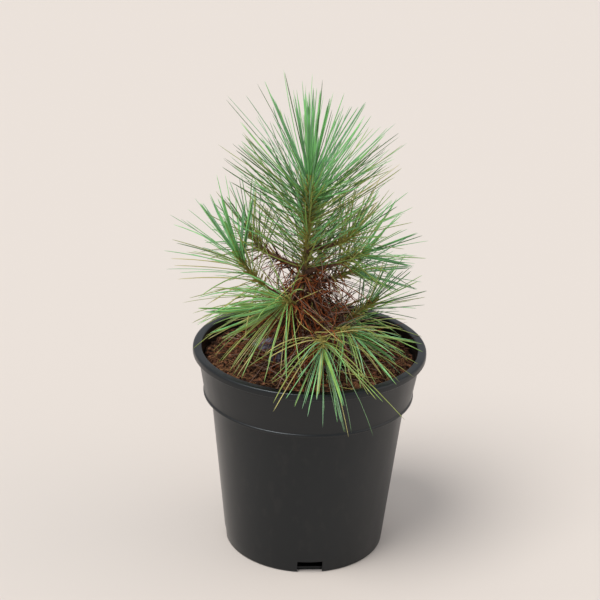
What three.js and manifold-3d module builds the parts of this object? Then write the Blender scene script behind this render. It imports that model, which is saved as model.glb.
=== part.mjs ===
// A bristlecone pine seedling in its round grower's pot.
//
// Millimetres, +Z up. The origin is the centre of the pot's flat underside, and -Y is the
// front, where one of the four drain notches shows. The plant is a short trunk, boughs that
// leave it all round, a tuft of needles on each bough and sleeves of needles round the upper
// trunk. Each tuft is worked out by one rule from a handful of sizes.

import * as THREE from 'three';
import { mergeVertices } from 'three/addons/utils/BufferGeometryUtils.js';
import Module from 'manifold-3d';

const wasm = await Module();
wasm.setup();

// Driving dimensions ---------------------------------------------------------------------

const CLEARANCE = 0.3; // between pieces that touch

const POT = {
  height: 93.3,
  lipRadius: 50.8,
  lipHeight: 3.0,
  lipInnerRadius: 47.0,
  collarTopRadius: 48.6,
  collarFootRadius: 45.6,
  collarFootHeight: 71.5,
  bodyTopRadius: 42.8,
  footRadius: 35.5,
  footBevel: 0.7,
  wall: 1.3,
  floor: 1.6,
  segments: 48,
};

const NOTCH = { count: 4, firstAzimuth: -85, width: 11, height: 5.6, depth: 2.6 };

const SOIL = {
  centreHeight: 88.0,
  edgeHeight: 86.4,
  lump: 0.7, // height of the lumps in the surface
  seatRadius: 5.0, // flat patch under the trunk
  rings: 5,
  segments: 36,
};

const TRUNK = {
  footHeight: SOIL.centreHeight + CLEARANCE,
  tipHeight: 164.5,
  footRadius: 1.9,
  tipRadius: 0.85,
  flare: 1.1, // added at the cut
  flareHeight: 3.5,
  sides: 9,
  rings: 18,
};

// Sideways places of the trunk's middle, spaced evenly from the cut to the tip.
const TRUNK_SWAY = [
  [0.0, 1.0],
  [-1.6, 0.6],
  [-3.2, 0.0],
  [-2.9, 0.2],
  [-2.2, 0.0],
  [-2.3, -0.4],
];

const BOUGH = { footRadius: 1.25, tipRadius: 0.85, sides: 6, rings: 5 };
const STEM = { radius: 1.1, budRadius: 1.2, budLength: 3.2, sides: 5, rings: 3 };
const NEEDLE = { radius: 0.6, apart: 0.12, probes: 24, lengths: 3 };
const SLEEVE = { wall: 1.0, sides: 8, ringSpacing: 5.0 };
const GOLDEN_ANGLE = 137.508;

// One row for each side shoot: the height where it leaves the trunk, the reach, azimuth and
// height of its bud, the elevation at which it leaves, the azimuth and elevation at which
// it ends, the share of it that is a bare bough, and its needles' number and length.
const SHOOTS = [
  { name: 'left', foot: 111.0, reach: 32.4, azimuth: 187, height: 136.0, launch: 16,
    tipAzimuth: 185, tipElevation: 62, bare: 0.46, needles: 38, length: 37, seed: 11 },
  { name: 'back_left', foot: 129.0, reach: 29.6, azimuth: 162, height: 143.0, launch: 0,
    tipAzimuth: 165, tipElevation: 70, bare: 0.55, needles: 28, length: 26, seed: 23 },
  { name: 'front_left', foot: 106.5, reach: 21.6, azimuth: 232, height: 119.0, launch: 36,
    tipAzimuth: 214, tipElevation: -12, bare: 0.52, needles: 34, length: 40, seed: 37 },
  { name: 'front', foot: 93.5, reach: 36.5, azimuth: 278, height: 106.2, launch: 38,
    tipAzimuth: 270, tipElevation: -24, bare: 0.58, needles: 42, length: 38, seed: 41 },
  { name: 'front_right', foot: 96.5, reach: 26.0, azimuth: 316, height: 107.0, launch: 34,
    tipAzimuth: 324, tipElevation: -8, bare: 0.55, needles: 32, length: 31, seed: 53 },
  { name: 'right_low', foot: 93.0, reach: 27.4, azimuth: 6, height: 113.6, launch: 34,
    tipAzimuth: 6, tipElevation: 42, bare: 0.55, needles: 30, length: 31, seed: 67 },
  { name: 'right_middle', foot: 119.5, reach: 20.4, azimuth: 23, height: 125.2, launch: 12,
    tipAzimuth: 16, tipElevation: 8, bare: 0.52, needles: 32, length: 30, seed: 71 },
  { name: 'right_upper', foot: 127.0, reach: 22.4, azimuth: 6, height: 136.0, launch: 16,
    tipAzimuth: 4, tipElevation: 30, bare: 0.5, needles: 34, length: 30, seed: 83 },
  { name: 'right_high', foot: 137.0, reach: 18.0, azimuth: 350, height: 147.0, launch: 16,
    tipAzimuth: 350, tipElevation: 52, bare: 0.5, needles: 32, length: 27, seed: 97 },
  { name: 'back_high', foot: 132.0, reach: 21.0, azimuth: 96, height: 144.0, launch: 14,
    tipAzimuth: 96, tipElevation: 54, bare: 0.5, needles: 32, length: 32, seed: 103 },
  { name: 'back_middle', foot: 114.0, reach: 27.0, azimuth: 82, height: 124.0, launch: 18,
    tipAzimuth: 84, tipElevation: 34, bare: 0.52, needles: 34, length: 33, seed: 109 },
  { name: 'back_low', foot: 100.5, reach: 25.0, azimuth: 124, height: 102.0, launch: 22,
    tipAzimuth: 124, tipElevation: -6, bare: 0.52, needles: 34, length: 31, seed: 127 },
  { name: 'back_right', foot: 96.5, reach: 24.0, azimuth: 64, height: 100.0, launch: 14,
    tipAzimuth: 60, tipElevation: -10, bare: 0.52, needles: 34, length: 31, seed: 131 },
];

const TUFT = { firstNeedle: 0.05, footSplay: 66, tipSplay: 14, jitter: 14, lift: 0.0 };

// Needles round the trunk itself: the stretch of trunk, the needles' number and length, and
// the splay from the trunk's line at the stretch's foot and top.
const SLEEVES = [
  { name: 'leader_lower', low: 106.0, high: 126.0, needles: 34, length: 17,
    footSplay: 96, tipSplay: 80, lift: -0.15, seed: 211, dead: true },
  { name: 'leader_middle', low: 128.5, high: 146.5, needles: 36, length: 36,
    footSplay: 60, tipSplay: 56, lift: 0.0, seed: 223 },
  { name: 'leader_upper', low: 148.0, high: 163.0, needles: 44, length: 42,
    footSplay: 58, tipSplay: 56, lift: 0.0, seed: 227 },
];

const LEADER_TOP = { name: 'leader_top', height: 169.0, needles: 44, length: 45,
  footSplay: 60, tipSplay: 6, lift: 0.0, seed: 229 };

// Finishes -------------------------------------------------------------------------------

const finish = (color, roughness) =>
  new THREE.MeshStandardMaterial({ color, roughness, metalness: 0 });

const FINISHES = {
  pot: finish(0x2b2a2b, 0.5),
  soil: finish(0x4a2a1d, 0.95),
  bark: finish(0x5a3a26, 0.9),
  greenNeedles: finish(0x5f8a4e, 0.55),
  deadNeedles: finish(0x7a4a2c, 0.8),
};

// Small helpers --------------------------------------------------------------------------

const UP = new THREE.Vector3(0, 0, 1);
const EAST = new THREE.Vector3(1, 0, 0);
const NORTH = new THREE.Vector3(0, 1, 0);
const radians = THREE.MathUtils.degToRad;
const mix = THREE.MathUtils.lerp;

// A repeatable number from 0 to 1 for item `index` of a piece, one for each `channel`.
function chance(seed, index, channel) {
  const wave = Math.sin(seed * 12.9898 + index * 78.233 + channel * 37.719) * 43758.5453;
  return wave - Math.floor(wave);
}

// Unit vector at an azimuth and an elevation, both in degrees.
function heading(azimuth, elevation) {
  const level = Math.cos(radians(elevation));
  return new THREE.Vector3(
    level * Math.cos(radians(azimuth)),
    level * Math.sin(radians(azimuth)),
    Math.sin(radians(elevation)),
  );
}

// Two unit vectors square to `tangent`, the first as near as can be to `side`.
function crossAxes(tangent, side) {
  const first = side.clone().addScaledVector(tangent, -side.dot(tangent)).normalize();
  const second = tangent.clone().cross(first);
  return [first, second];
}

// A three.js geometry as a manifold solid, with faces that enclose nothing dropped.
function solidOf(geometry) {
  const bare = geometry.clone();
  bare.deleteAttribute('normal');
  bare.deleteAttribute('uv');
  const merged = mergeVertices(bare, 1e-5);
  const corners = merged.index.array;
  const faces = [];
  for (let i = 0; i < corners.length; i += 3) {
    const [a, b, c] = corners.slice(i, i + 3);
    if (a !== b && b !== c && c !== a) {
      faces.push(a, b, c);
    }
  }
  return new wasm.Manifold(new wasm.Mesh({
    numProp: 3,
    vertProperties: new Float32Array(merged.attributes.position.array),
    triVerts: new Uint32Array(faces),
  }));
}

function geometryOf(solid) {
  const mesh = solid.getMesh();
  const geometry = new THREE.BufferGeometry();
  geometry.setAttribute('position', new THREE.BufferAttribute(mesh.vertProperties, 3));
  geometry.setIndex(new THREE.BufferAttribute(mesh.triVerts, 1));
  return geometry;
}

// Only the largest body of a solid, so that no loose scrap stays.
function largestBody(solid) {
  const bodies = solid.decompose();
  return bodies.reduce((best, body) => (body.volume() > best.volume() ? body : best));
}

// A closed round solid through rings of corners: each ring is { centre, tangent, radius },
// and both ends are flat caps.
function limbSolid(rings, side, sides) {
  const corners = [];
  const faces = [];
  rings.forEach(({ centre, tangent, radius }) => {
    const [first, second] = crossAxes(tangent, side);
    for (let k = 0; k < sides; k += 1) {
      const turn = (2 * Math.PI * k) / sides;
      const corner = centre.clone()
        .addScaledVector(first, radius * Math.cos(turn))
        .addScaledVector(second, radius * Math.sin(turn));
      corners.push(...corner.toArray());
    }
  });
  for (let row = 0; row < rings.length - 1; row += 1) {
    for (let k = 0; k < sides; k += 1) {
      const a = row * sides + k;
      const b = row * sides + ((k + 1) % sides);
      faces.push(a, b, b + sides, a, b + sides, a + sides);
    }
  }
  const top = (rings.length - 1) * sides;
  for (let k = 1; k < sides - 1; k += 1) {
    faces.push(0, k + 1, k);
    faces.push(top, top + k, top + k + 1);
  }
  const geometry = new THREE.BufferGeometry();
  geometry.setAttribute('position', new THREE.Float32BufferAttribute(corners, 3));
  geometry.setIndex(faces);
  return solidOf(geometry);
}

// A round solid turned about the Z axis from [radius, height] points that start and end on
// the axis, going up outside.
function turnedSolid(profile, segments, lumpAt = () => 0) {
  const points = profile.map(([radius, height]) => new THREE.Vector2(radius, height));
  const geometry = new THREE.LatheGeometry(points, segments);
  geometry.rotateX(Math.PI / 2);
  const place = geometry.attributes.position;
  for (let i = 0; i < place.count; i += 1) {
    place.setZ(i, place.getZ(i) + lumpAt(place.getX(i), place.getY(i), place.getZ(i)));
  }
  return solidOf(geometry);
}

// Pot ------------------------------------------------------------------------------------

const COLLAR_TOP = POT.height - POT.lipHeight;
const INNER_FOOT_RADIUS = POT.footRadius - POT.wall;
const INNER_BODY_RADIUS = POT.bodyTopRadius - POT.wall;
const INNER_COLLAR_RADIUS = POT.collarFootRadius - POT.wall;
const INNER_STEP_HEIGHT = POT.collarFootHeight + POT.wall;

// Radius of the pot's outside at a height.
function potOutside(height) {
  if (height > COLLAR_TOP) {
    return POT.lipRadius;
  }
  if (height > POT.collarFootHeight) {
    const share = (height - POT.collarFootHeight) / (COLLAR_TOP - POT.collarFootHeight);
    return mix(POT.collarFootRadius, POT.collarTopRadius, share);
  }
  return mix(POT.footRadius, POT.bodyTopRadius, height / POT.collarFootHeight);
}

// Radius of the pot's inside at a height above the inner step.
function potInside(height) {
  const share = (height - INNER_STEP_HEIGHT) / (POT.height - INNER_STEP_HEIGHT);
  return mix(INNER_COLLAR_RADIUS, POT.lipInnerRadius, share);
}

function makePot() {
  const shell = turnedSolid([
    [0, 0],
    [POT.footRadius - POT.footBevel, 0],
    [POT.footRadius, POT.footBevel],
    [POT.bodyTopRadius, POT.collarFootHeight],
    [POT.collarFootRadius, POT.collarFootHeight],
    [POT.collarTopRadius, COLLAR_TOP],
    [POT.lipRadius, COLLAR_TOP],
    [POT.lipRadius, POT.height - POT.footBevel],
    [POT.lipRadius - POT.footBevel, POT.height],
    [POT.lipInnerRadius, POT.height],
    [INNER_COLLAR_RADIUS, INNER_STEP_HEIGHT],
    [INNER_BODY_RADIUS, INNER_STEP_HEIGHT],
    [INNER_FOOT_RADIUS, POT.floor],
    [0, POT.floor],
  ], POT.segments);
  let pot = shell;
  for (let k = 0; k < NOTCH.count; k += 1) {
    const box = new THREE.BoxGeometry(2 * NOTCH.depth, NOTCH.width, 2 * NOTCH.height);
    box.translate(POT.footRadius, 0, 0);
    box.rotateZ(radians(NOTCH.firstAzimuth + (360 * k) / NOTCH.count));
    pot = pot.subtract(solidOf(box));
  }
  return pot;
}

// Soil -----------------------------------------------------------------------------------

// Height of the soil's surface, without its lumps, at a distance from the pot's axis.
function soilHeight(radius) {
  const share = Math.min(radius / potInside(SOIL.edgeHeight), 1);
  return mix(SOIL.centreHeight, SOIL.edgeHeight, share * share);
}

function makeSoil() {
  const edge = potInside(SOIL.edgeHeight) - CLEARANCE;
  const profile = [
    [0, POT.floor + CLEARANCE],
    [INNER_FOOT_RADIUS - CLEARANCE, POT.floor + CLEARANCE],
    [INNER_BODY_RADIUS - CLEARANCE, INNER_STEP_HEIGHT + CLEARANCE],
    [INNER_COLLAR_RADIUS - CLEARANCE, INNER_STEP_HEIGHT + CLEARANCE],
    [edge, SOIL.edgeHeight],
  ];
  for (let k = SOIL.rings - 1; k > 0; k -= 1) {
    const radius = mix(SOIL.seatRadius, edge, k / SOIL.rings);
    profile.push([radius, soilHeight(radius)]);
  }
  profile.push([SOIL.seatRadius, SOIL.centreHeight]);
  profile.push([0, SOIL.centreHeight]);
  const lumps = (x, y, z) => {
    const radius = Math.hypot(x, y);
    const onTop = z > SOIL.edgeHeight + 0.01 && radius > SOIL.seatRadius + 0.1;
    const wave = Math.sin(0.41 * x + 1.3) * Math.sin(0.37 * y - 0.6) + Math.sin(0.8 * x - 0.7 * y);
    return onTop ? SOIL.lump * 0.5 * wave : 0;
  };
  return turnedSolid(profile, SOIL.segments, lumps);
}

// Trunk and side shoots' lines -----------------------------------------------------------

const trunkCurve = new THREE.CatmullRomCurve3(TRUNK_SWAY.map(([x, y], k) => {
  const share = k / (TRUNK_SWAY.length - 1);
  return new THREE.Vector3(x, y, mix(TRUNK.footHeight, TRUNK.tipHeight, share));
}), false, 'catmullrom');

const trunkShare = (height) =>
  (height - TRUNK.footHeight) / (TRUNK.tipHeight - TRUNK.footHeight);

// Radius of the trunk at a share of its height, with the flare at its foot.
function trunkRadius(share) {
  const climb = share * (TRUNK.tipHeight - TRUNK.footHeight);
  const flare = TRUNK.flare * Math.exp(-climb / TRUNK.flareHeight);
  return mix(TRUNK.footRadius, TRUNK.tipRadius, share) + flare;
}

// Rings for a stretch of trunk, grown outwards by `extra`.
function trunkRings(fromShare, toShare, count, extra) {
  const rings = [];
  for (let k = 0; k <= count; k += 1) {
    const share = mix(fromShare, toShare, k / count);
    rings.push({
      centre: trunkCurve.getPoint(share),
      tangent: k === 0 && fromShare === 0 ? UP : trunkCurve.getTangent(share),
      radius: trunkRadius(share) + extra,
    });
  }
  return rings;
}

const makeTrunk = () => limbSolid(trunkRings(0, 1, TRUNK.rings, 0), EAST, TRUNK.sides);

const trunkWithClearance =
  limbSolid(trunkRings(0, 1, TRUNK.rings, CLEARANCE), EAST, TRUNK.sides);

// The line of a side shoot, from the trunk's middle to its bud.
function shootCurve(shoot) {
  const start = trunkCurve.getPoint(trunkShare(shoot.foot));
  const bud = heading(shoot.azimuth, 0).multiplyScalar(shoot.reach);
  bud.z = shoot.height;
  const third = start.distanceTo(bud) / 3;
  const towards = Math.atan2(bud.y - start.y, bud.x - start.x) * THREE.MathUtils.RAD2DEG;
  return new THREE.CubicBezierCurve3(
    start,
    start.clone().addScaledVector(heading(towards, shoot.launch), third),
    bud.clone().addScaledVector(heading(shoot.tipAzimuth, shoot.tipElevation), -third),
    bud,
  );
}

const shootSide = (shoot) => heading(shoot.azimuth + 90, 0);

// Rings along a curve from one parameter to another, with the radius changing evenly.
function curveRings(curve, from, to, count, fromRadius, toRadius) {
  const rings = [];
  for (let k = 0; k <= count; k += 1) {
    const at = mix(from, to, k / count);
    rings.push({
      centre: curve.getPoint(at),
      tangent: curve.getTangent(at),
      radius: mix(fromRadius, toRadius, k / count),
    });
  }
  return rings;
}

// A bud's rings, from the stem's end outwards.
function budRings(base, tangent) {
  const shape = [[0.35, 1], [0.75, 0.7], [1, 0.18]];
  return shape.map(([along, width]) => ({
    centre: base.clone().addScaledVector(tangent, along * STEM.budLength),
    tangent,
    radius: width * STEM.budRadius,
  }));
}

// Where limbs and needles already stand, so that a later needle can keep clear of them ----

const limbLines = []; // { owner, from, to, radius } along every limb and stem
const needleLines = []; // the same for every needle

function noteLimb(owner, rings) {
  for (let k = 0; k < rings.length - 1; k += 1) {
    limbLines.push({
      owner,
      from: rings[k].centre,
      to: rings[k + 1].centre,
      radius: Math.max(rings[k].radius, rings[k + 1].radius),
    });
  }
}

// Shortest distance between two straight pieces of line.
function lineDistance(a, b) {
  const u = a.to.clone().sub(a.from);
  const v = b.to.clone().sub(b.from);
  const w = a.from.clone().sub(b.from);
  const uu = u.dot(u);
  const uv = u.dot(v);
  const vv = v.dot(v);
  const uw = u.dot(w);
  const vw = v.dot(w);
  const square = uu * vv - uv * uv;
  let s = square > 1e-9 ? (uv * vw - vv * uw) / square : 0;
  s = Math.min(Math.max(s, 0), 1);
  let t = (uv * s + vw) / vv;
  t = Math.min(Math.max(t, 0), 1);
  s = Math.min(Math.max((uv * t - uw) / uu, 0), 1);
  return w.addScaledVector(u, s).addScaledVector(v, -t).length();
}

// Whether a point keeps `margin` from the pot and the soil.
function clearOfPot(point, margin) {
  const radius = Math.hypot(point.x, point.y);
  if (point.z > POT.height + margin) {
    return true;
  }
  if (radius > potOutside(point.z) + margin) {
    return radius > POT.lipRadius + margin || point.z < COLLAR_TOP - margin;
  }
  return radius < potInside(point.z) - margin && point.z > soilHeight(radius) + SOIL.lump + margin;
}

// A needle's line as a few shorter ones, each as thick as the needle is where it starts.
function taperedLines({ owner, from, to, radius }) {
  return Array.from({ length: NEEDLE.lengths }, (_, k) => ({
    owner,
    from: from.clone().lerp(to, k / NEEDLE.lengths),
    to: from.clone().lerp(to, (k + 1) / NEEDLE.lengths),
    radius: radius * (1 - k / NEEDLE.lengths),
  }));
}

function needleFits(carrier, line, pieces) {
  for (let k = 0; k <= NEEDLE.probes; k += 1) {
    const point = line.from.clone().lerp(line.to, k / NEEDLE.probes);
    if (!clearOfPot(point, NEEDLE.radius)) {
      return false;
    }
  }
  const free = (other) => other.owner === line.owner || other.owner === carrier
    || pieces.every((piece) =>
      lineDistance(piece, other) > piece.radius + other.radius + NEEDLE.apart);
  return limbLines.every(free) && needleLines.every(free);
}

// Needles --------------------------------------------------------------------------------

// One bundle of needles: a slim three-sided cone that narrows to its point.
function needleSolid({ from, to }) {
  const length = from.distanceTo(to);
  const geometry = new THREE.ConeGeometry(NEEDLE.radius, length, 3);
  geometry.translate(0, length / 2, 0);
  const turn = new THREE.Quaternion().setFromUnitVectors(NORTH, to.clone().sub(from).normalize());
  geometry.applyQuaternion(turn);
  geometry.translate(from.x, from.y, from.z);
  return solidOf(geometry);
}

// The needle rule. Needle `index` stands on the line at a share that rises evenly, turned on
// by the golden angle, and leaves the line by a splay that closes towards the tip. Chance
// turns, tilts and trims each a little.
function needleLine(spray, index, curve, side, from, to, rootOut) {
  const share = index / (spray.needles - 1);
  const at = mix(from, to, share);
  const tangent = curve.getTangent(at);
  const [first, second] = crossAxes(tangent, side);
  const turn = radians(index * GOLDEN_ANGLE + 30 * (chance(spray.seed, index, 1) - 0.5));
  const outward = first.multiplyScalar(Math.cos(turn)).addScaledVector(second, Math.sin(turn));
  const tilt = TUFT.jitter * (chance(spray.seed, index, 2) - 0.5);
  const splay = radians(mix(spray.footSplay, spray.tipSplay, share ** 1.3) + tilt);
  const direction = tangent.clone().multiplyScalar(Math.cos(splay))
    .addScaledVector(outward, Math.sin(splay))
    .addScaledVector(UP, spray.lift)
    .normalize();
  const length = spray.length * (0.84 + 0.22 * chance(spray.seed, index, 3));
  const root = curve.getPoint(at).addScaledVector(outward, rootOut(at));
  return {
    owner: spray.name,
    from: root,
    to: root.clone().addScaledVector(direction, length),
    radius: NEEDLE.radius,
  };
}

// A mass of needles: the core with every needle of the rule that fits fused on. Only the
// limb that carries the core may come closer to a needle than the clearance.
function sprayOnCore(core, carrier, spray, curve, side, from, to, rootOut) {
  const parts = [core];
  for (let index = 0; index < spray.needles; index += 1) {
    const line = needleLine(spray, index, curve, side, from, to, rootOut);
    const pieces = taperedLines(line);
    if (needleFits(carrier, line, pieces)) {
      needleLines.push(...pieces);
      parts.push(needleSolid(line));
    }
  }
  return wasm.Manifold.union(parts);
}

// Side shoots: a bough of wood, then a stem that carries the tuft -----------------------------

const plannedShoots = SHOOTS.map((shoot) => {
  const curve = shootCurve(shoot);
  const length = curve.getLength();
  const stemStart = shoot.bare + CLEARANCE / length;
  const boughRings =
    curveRings(curve, 0, shoot.bare, BOUGH.rings, BOUGH.footRadius, BOUGH.tipRadius);
  const stemRings = curveRings(curve, stemStart, 1, STEM.rings, BOUGH.tipRadius, STEM.radius)
    .concat(budRings(curve.getPoint(1), curve.getTangent(1)));
  noteLimb(`${shoot.name}_bough`, boughRings);
  noteLimb(`${shoot.name}_tuft`, stemRings);
  return { shoot, curve, boughRings, stemRings };
});

noteLimb('trunk', trunkRings(0, 1, TRUNK.rings, 0));

const makeBough = ({ shoot, boughRings }) => largestBody(
  limbSolid(boughRings, shootSide(shoot), BOUGH.sides).subtract(trunkWithClearance),
);

const woodWithClearance = wasm.Manifold.union([
  trunkWithClearance,
  ...plannedShoots.map(({ shoot, boughRings }) => limbSolid(
    boughRings.map((ring) => ({ ...ring, radius: ring.radius + CLEARANCE })),
    shootSide(shoot),
    BOUGH.sides,
  )),
]);

function makeTuft({ shoot, curve, stemRings }) {
  const side = shootSide(shoot);
  const core = limbSolid(stemRings, side, STEM.sides);
  const spray = { ...TUFT, ...shoot, name: `${shoot.name}_tuft` };
  const from = shoot.bare + TUFT.firstNeedle;
  return largestBody(sprayOnCore(core, spray.name, spray, curve, side, from, 1, () => 0));
}

// The leader: sleeves of needles round the trunk, and a tuft on its tip -------------------------

function makeSleeve(spray) {
  const from = trunkShare(spray.low);
  const to = trunkShare(spray.high);
  const count = Math.ceil((spray.high - spray.low) / SLEEVE.ringSpacing);
  const outer = trunkRings(from, to, count, CLEARANCE + SLEEVE.wall);
  const core = limbSolid(outer, EAST, SLEEVE.sides);
  const middle = CLEARANCE + SLEEVE.wall / 2;
  const rootOut = (share) => trunkRadius(share) + middle;
  const mass = sprayOnCore(core, 'trunk', spray, trunkCurve, EAST, from, to, rootOut);
  return largestBody(mass.subtract(woodWithClearance));
}

function makeLeaderTop() {
  const start = trunkCurve.getPoint(1).addScaledVector(UP, CLEARANCE);
  const bud = trunkCurve.getPoint(1).setZ(LEADER_TOP.height);
  const curve = new THREE.LineCurve3(start, bud);
  const rings = curveRings(curve, 0, 1, 2, TRUNK.tipRadius, STEM.radius)
    .concat(budRings(bud, UP));
  noteLimb(LEADER_TOP.name, rings);
  const core = limbSolid(rings, EAST, STEM.sides);
  return largestBody(sprayOnCore(core, 'trunk', LEADER_TOP, curve, EAST, 0.2, 1, () => 0));
}

// Assembly -------------------------------------------------------------------------------

const plant = new THREE.Group();

function add(name, solid, material) {
  const mesh = new THREE.Mesh(geometryOf(solid), material);
  mesh.name = name;
  plant.add(mesh);
}

add('pot', makePot(), FINISHES.pot);
add('soil', makeSoil(), FINISHES.soil);
add('trunk', makeTrunk(), FINISHES.bark);
add(LEADER_TOP.name, makeLeaderTop(), FINISHES.greenNeedles);
[...SLEEVES].reverse().forEach((spray) => {
  add(spray.name, makeSleeve(spray), spray.dead ? FINISHES.deadNeedles : FINISHES.greenNeedles);
});
plannedShoots.forEach((planned) => {
  add(`${planned.shoot.name}_bough`, makeBough(planned), FINISHES.bark);
  add(`${planned.shoot.name}_tuft`, makeTuft(planned), FINISHES.greenNeedles);
});

export default plant;
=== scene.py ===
"""A bristlecone pine seedling in its round grower's pot.

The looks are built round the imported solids: a turned pot, a bed of compost with crumbs and
fibres, a trunk and boughs with bark, and needles that grow by the same rule as the solids,
carried to finer bundles within the same reach. Lengths are millimetres until a mesh is made.
"""

import math
from collections import namedtuple
from functools import partial
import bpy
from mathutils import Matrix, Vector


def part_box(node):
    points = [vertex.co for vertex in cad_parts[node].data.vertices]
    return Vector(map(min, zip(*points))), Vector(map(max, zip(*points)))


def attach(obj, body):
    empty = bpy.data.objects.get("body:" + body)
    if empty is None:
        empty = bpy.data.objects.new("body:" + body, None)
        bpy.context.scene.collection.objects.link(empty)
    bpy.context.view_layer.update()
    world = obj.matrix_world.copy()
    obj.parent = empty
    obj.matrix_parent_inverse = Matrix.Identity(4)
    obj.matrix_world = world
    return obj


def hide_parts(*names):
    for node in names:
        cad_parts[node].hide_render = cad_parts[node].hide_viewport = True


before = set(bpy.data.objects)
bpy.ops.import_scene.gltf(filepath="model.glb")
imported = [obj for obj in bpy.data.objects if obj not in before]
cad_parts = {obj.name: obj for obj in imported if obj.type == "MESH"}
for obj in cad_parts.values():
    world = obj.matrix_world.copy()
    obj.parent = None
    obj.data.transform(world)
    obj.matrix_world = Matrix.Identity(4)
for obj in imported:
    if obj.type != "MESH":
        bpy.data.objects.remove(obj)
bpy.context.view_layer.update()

from types import SimpleNamespace

import bmesh
import bpy
import numpy as np
from bpy.props import FloatProperty, FloatVectorProperty, IntProperty, PointerProperty
from mathutils import Matrix, Vector

bl_info = {
    "name": "Potted Bristlecone Pine",
    "version": (1, 0, 0),
    "blender": (4, 5, 0),
    "location": "View3D > Sidebar > Pine",
    "description": "Builds a potted pine seedling round its packed solids",
    "category": "Add Mesh",
}

MM = 0.001
UP = np.array([0.0, 0.0, 1.0])
EAST = np.array([1.0, 0.0, 0.0])
GOLDEN_ANGLE = 137.508

# --- The pot and the compost, as the solids have them. The step is the collar's foot

POT_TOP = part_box("pot")[1].z / MM
LIP_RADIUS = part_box("pot")[1].x / MM
CLEARANCE = 0.3
POT = SimpleNamespace(
    lip_height=3.0, lip_inner=47.0, collar_top=48.6, collar_foot=45.6, step=71.5,
    body_top=42.8, foot=35.5, wall=1.3, floor=1.6,
)
COLLAR_TOP = POT_TOP - POT.lip_height
INNER_STEP = POT.step + POT.wall
NOTCH = SimpleNamespace(count=4, first_azimuth=-85, width=11, height=5.6, depth=2.6)
SOIL = SimpleNamespace(centre=88.0, edge=86.4, lump=0.7)
# Coarse and fine clods: height, scale, octaves and seed
CLODS = ((0.95, 0.20, 2, 5), (0.6, 0.75, 3, 9))
# Stones on the compost, most of them left of the trunk: x, y and size
STONES = (
    (-16.5, 4.5, 9.0), (-12.0, -1.0, 7.0), (-20.5, 9.0, 7.5), (-11.0, 13.5, 6.0),
    (-14.5, -9.5, 5.0), (15.0, 12.0, 5.0), (6.0, -14.0, 4.0),
)
# Loose crumbs: seed, tint, and how dark and how light they are beside the compost
CRUMBS = ((31, "dark", 0.18, 0.5), (32, "brown", 0.8, 1.5), (33, "pale", 1.6, 3.2))

# --- The plant, as the solids have it

TRUNK = SimpleNamespace(
    foot=SOIL.centre + CLEARANCE, tip=164.5, foot_radius=1.9, tip_radius=0.85,
    flare=1.1, flare_height=3.5,
)
TRUNK_SWAY = np.array(
    [[0.0, 1.0], [-1.6, 0.6], [-3.2, 0.0], [-2.9, 0.2], [-2.2, 0.0], [-2.3, -0.4]]
)
BOUGH = SimpleNamespace(foot_radius=1.25, tip_radius=0.85)
STEM = SimpleNamespace(radius=1.1, bud_radius=1.2, bud_length=3.2, slim=0.72)
SLEEVE_WALL = 1.0
FIRST_NEEDLE = 0.05
TUFT_SPLAY = (66, 14)
TUFT_GATHER = 0.6
TILT_JITTER = 14
TURN_JITTER = 30

# Height where it leaves the trunk, reach, azimuth and height of its bud, elevation at which it
# leaves, azimuth and elevation at which it ends, bare share, needles, their length, seed
Shoot = namedtuple(
    "Shoot",
    "name foot reach azimuth height launch tip_azimuth tip_elevation bare needles length seed",
)
SHOOTS = [
    Shoot(*row) for row in (
        ("left", 111.0, 32.4, 187, 136.0, 16, 185, 62, 0.46, 38, 37, 11),
        ("back_left", 129.0, 29.6, 162, 143.0, 0, 165, 70, 0.55, 28, 26, 23),
        ("front_left", 106.5, 21.6, 232, 119.0, 36, 214, -12, 0.52, 34, 40, 37),
        ("front", 93.5, 36.5, 278, 106.2, 38, 270, -24, 0.58, 42, 38, 41),
        ("front_right", 96.5, 26.0, 316, 107.0, 34, 324, -8, 0.55, 32, 31, 53),
        ("right_low", 93.0, 27.4, 6, 113.6, 34, 6, 42, 0.55, 30, 31, 67),
        ("right_middle", 119.5, 20.4, 23, 125.2, 12, 16, 8, 0.52, 32, 30, 71),
        ("right_upper", 127.0, 22.4, 6, 136.0, 16, 4, 30, 0.5, 34, 30, 83),
        ("right_high", 137.0, 18.0, 350, 147.0, 16, 350, 52, 0.5, 32, 27, 97),
        ("back_high", 132.0, 21.0, 96, 144.0, 14, 96, 54, 0.5, 32, 32, 103),
        ("back_middle", 114.0, 27.0, 82, 124.0, 18, 84, 34, 0.52, 34, 33, 109),
        ("back_low", 100.5, 25.0, 124, 102.0, 22, 124, -6, 0.52, 34, 31, 127),
        ("back_right", 96.5, 24.0, 64, 100.0, 14, 60, -10, 0.52, 34, 31, 131),
    )
]

# Low and high end on the trunk, needles, their length, splay at the foot and top, lift, seed
Sleeve = namedtuple("Sleeve", "name low high needles length foot_splay tip_splay lift seed")
SLEEVES = (
    Sleeve("leader_lower", 106.0, 126.0, 34, 17, 96, 80, -0.15, 211),
    Sleeve("leader_middle", 128.5, 146.5, 36, 36, 60, 56, 0.0, 223),
    Sleeve("leader_upper", 148.0, 163.0, 44, 42, 58, 56, 0.0, 227),
)
LEADER_TOP = SimpleNamespace(
    height=169.0, first=0.2, needles=44, length=45, splay=(60, 6), seed=229, gather=0.5,
    sink=15.0,
)
DEAD_MASS = "leader_lower"

# --- How the masses are carried on

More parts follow.
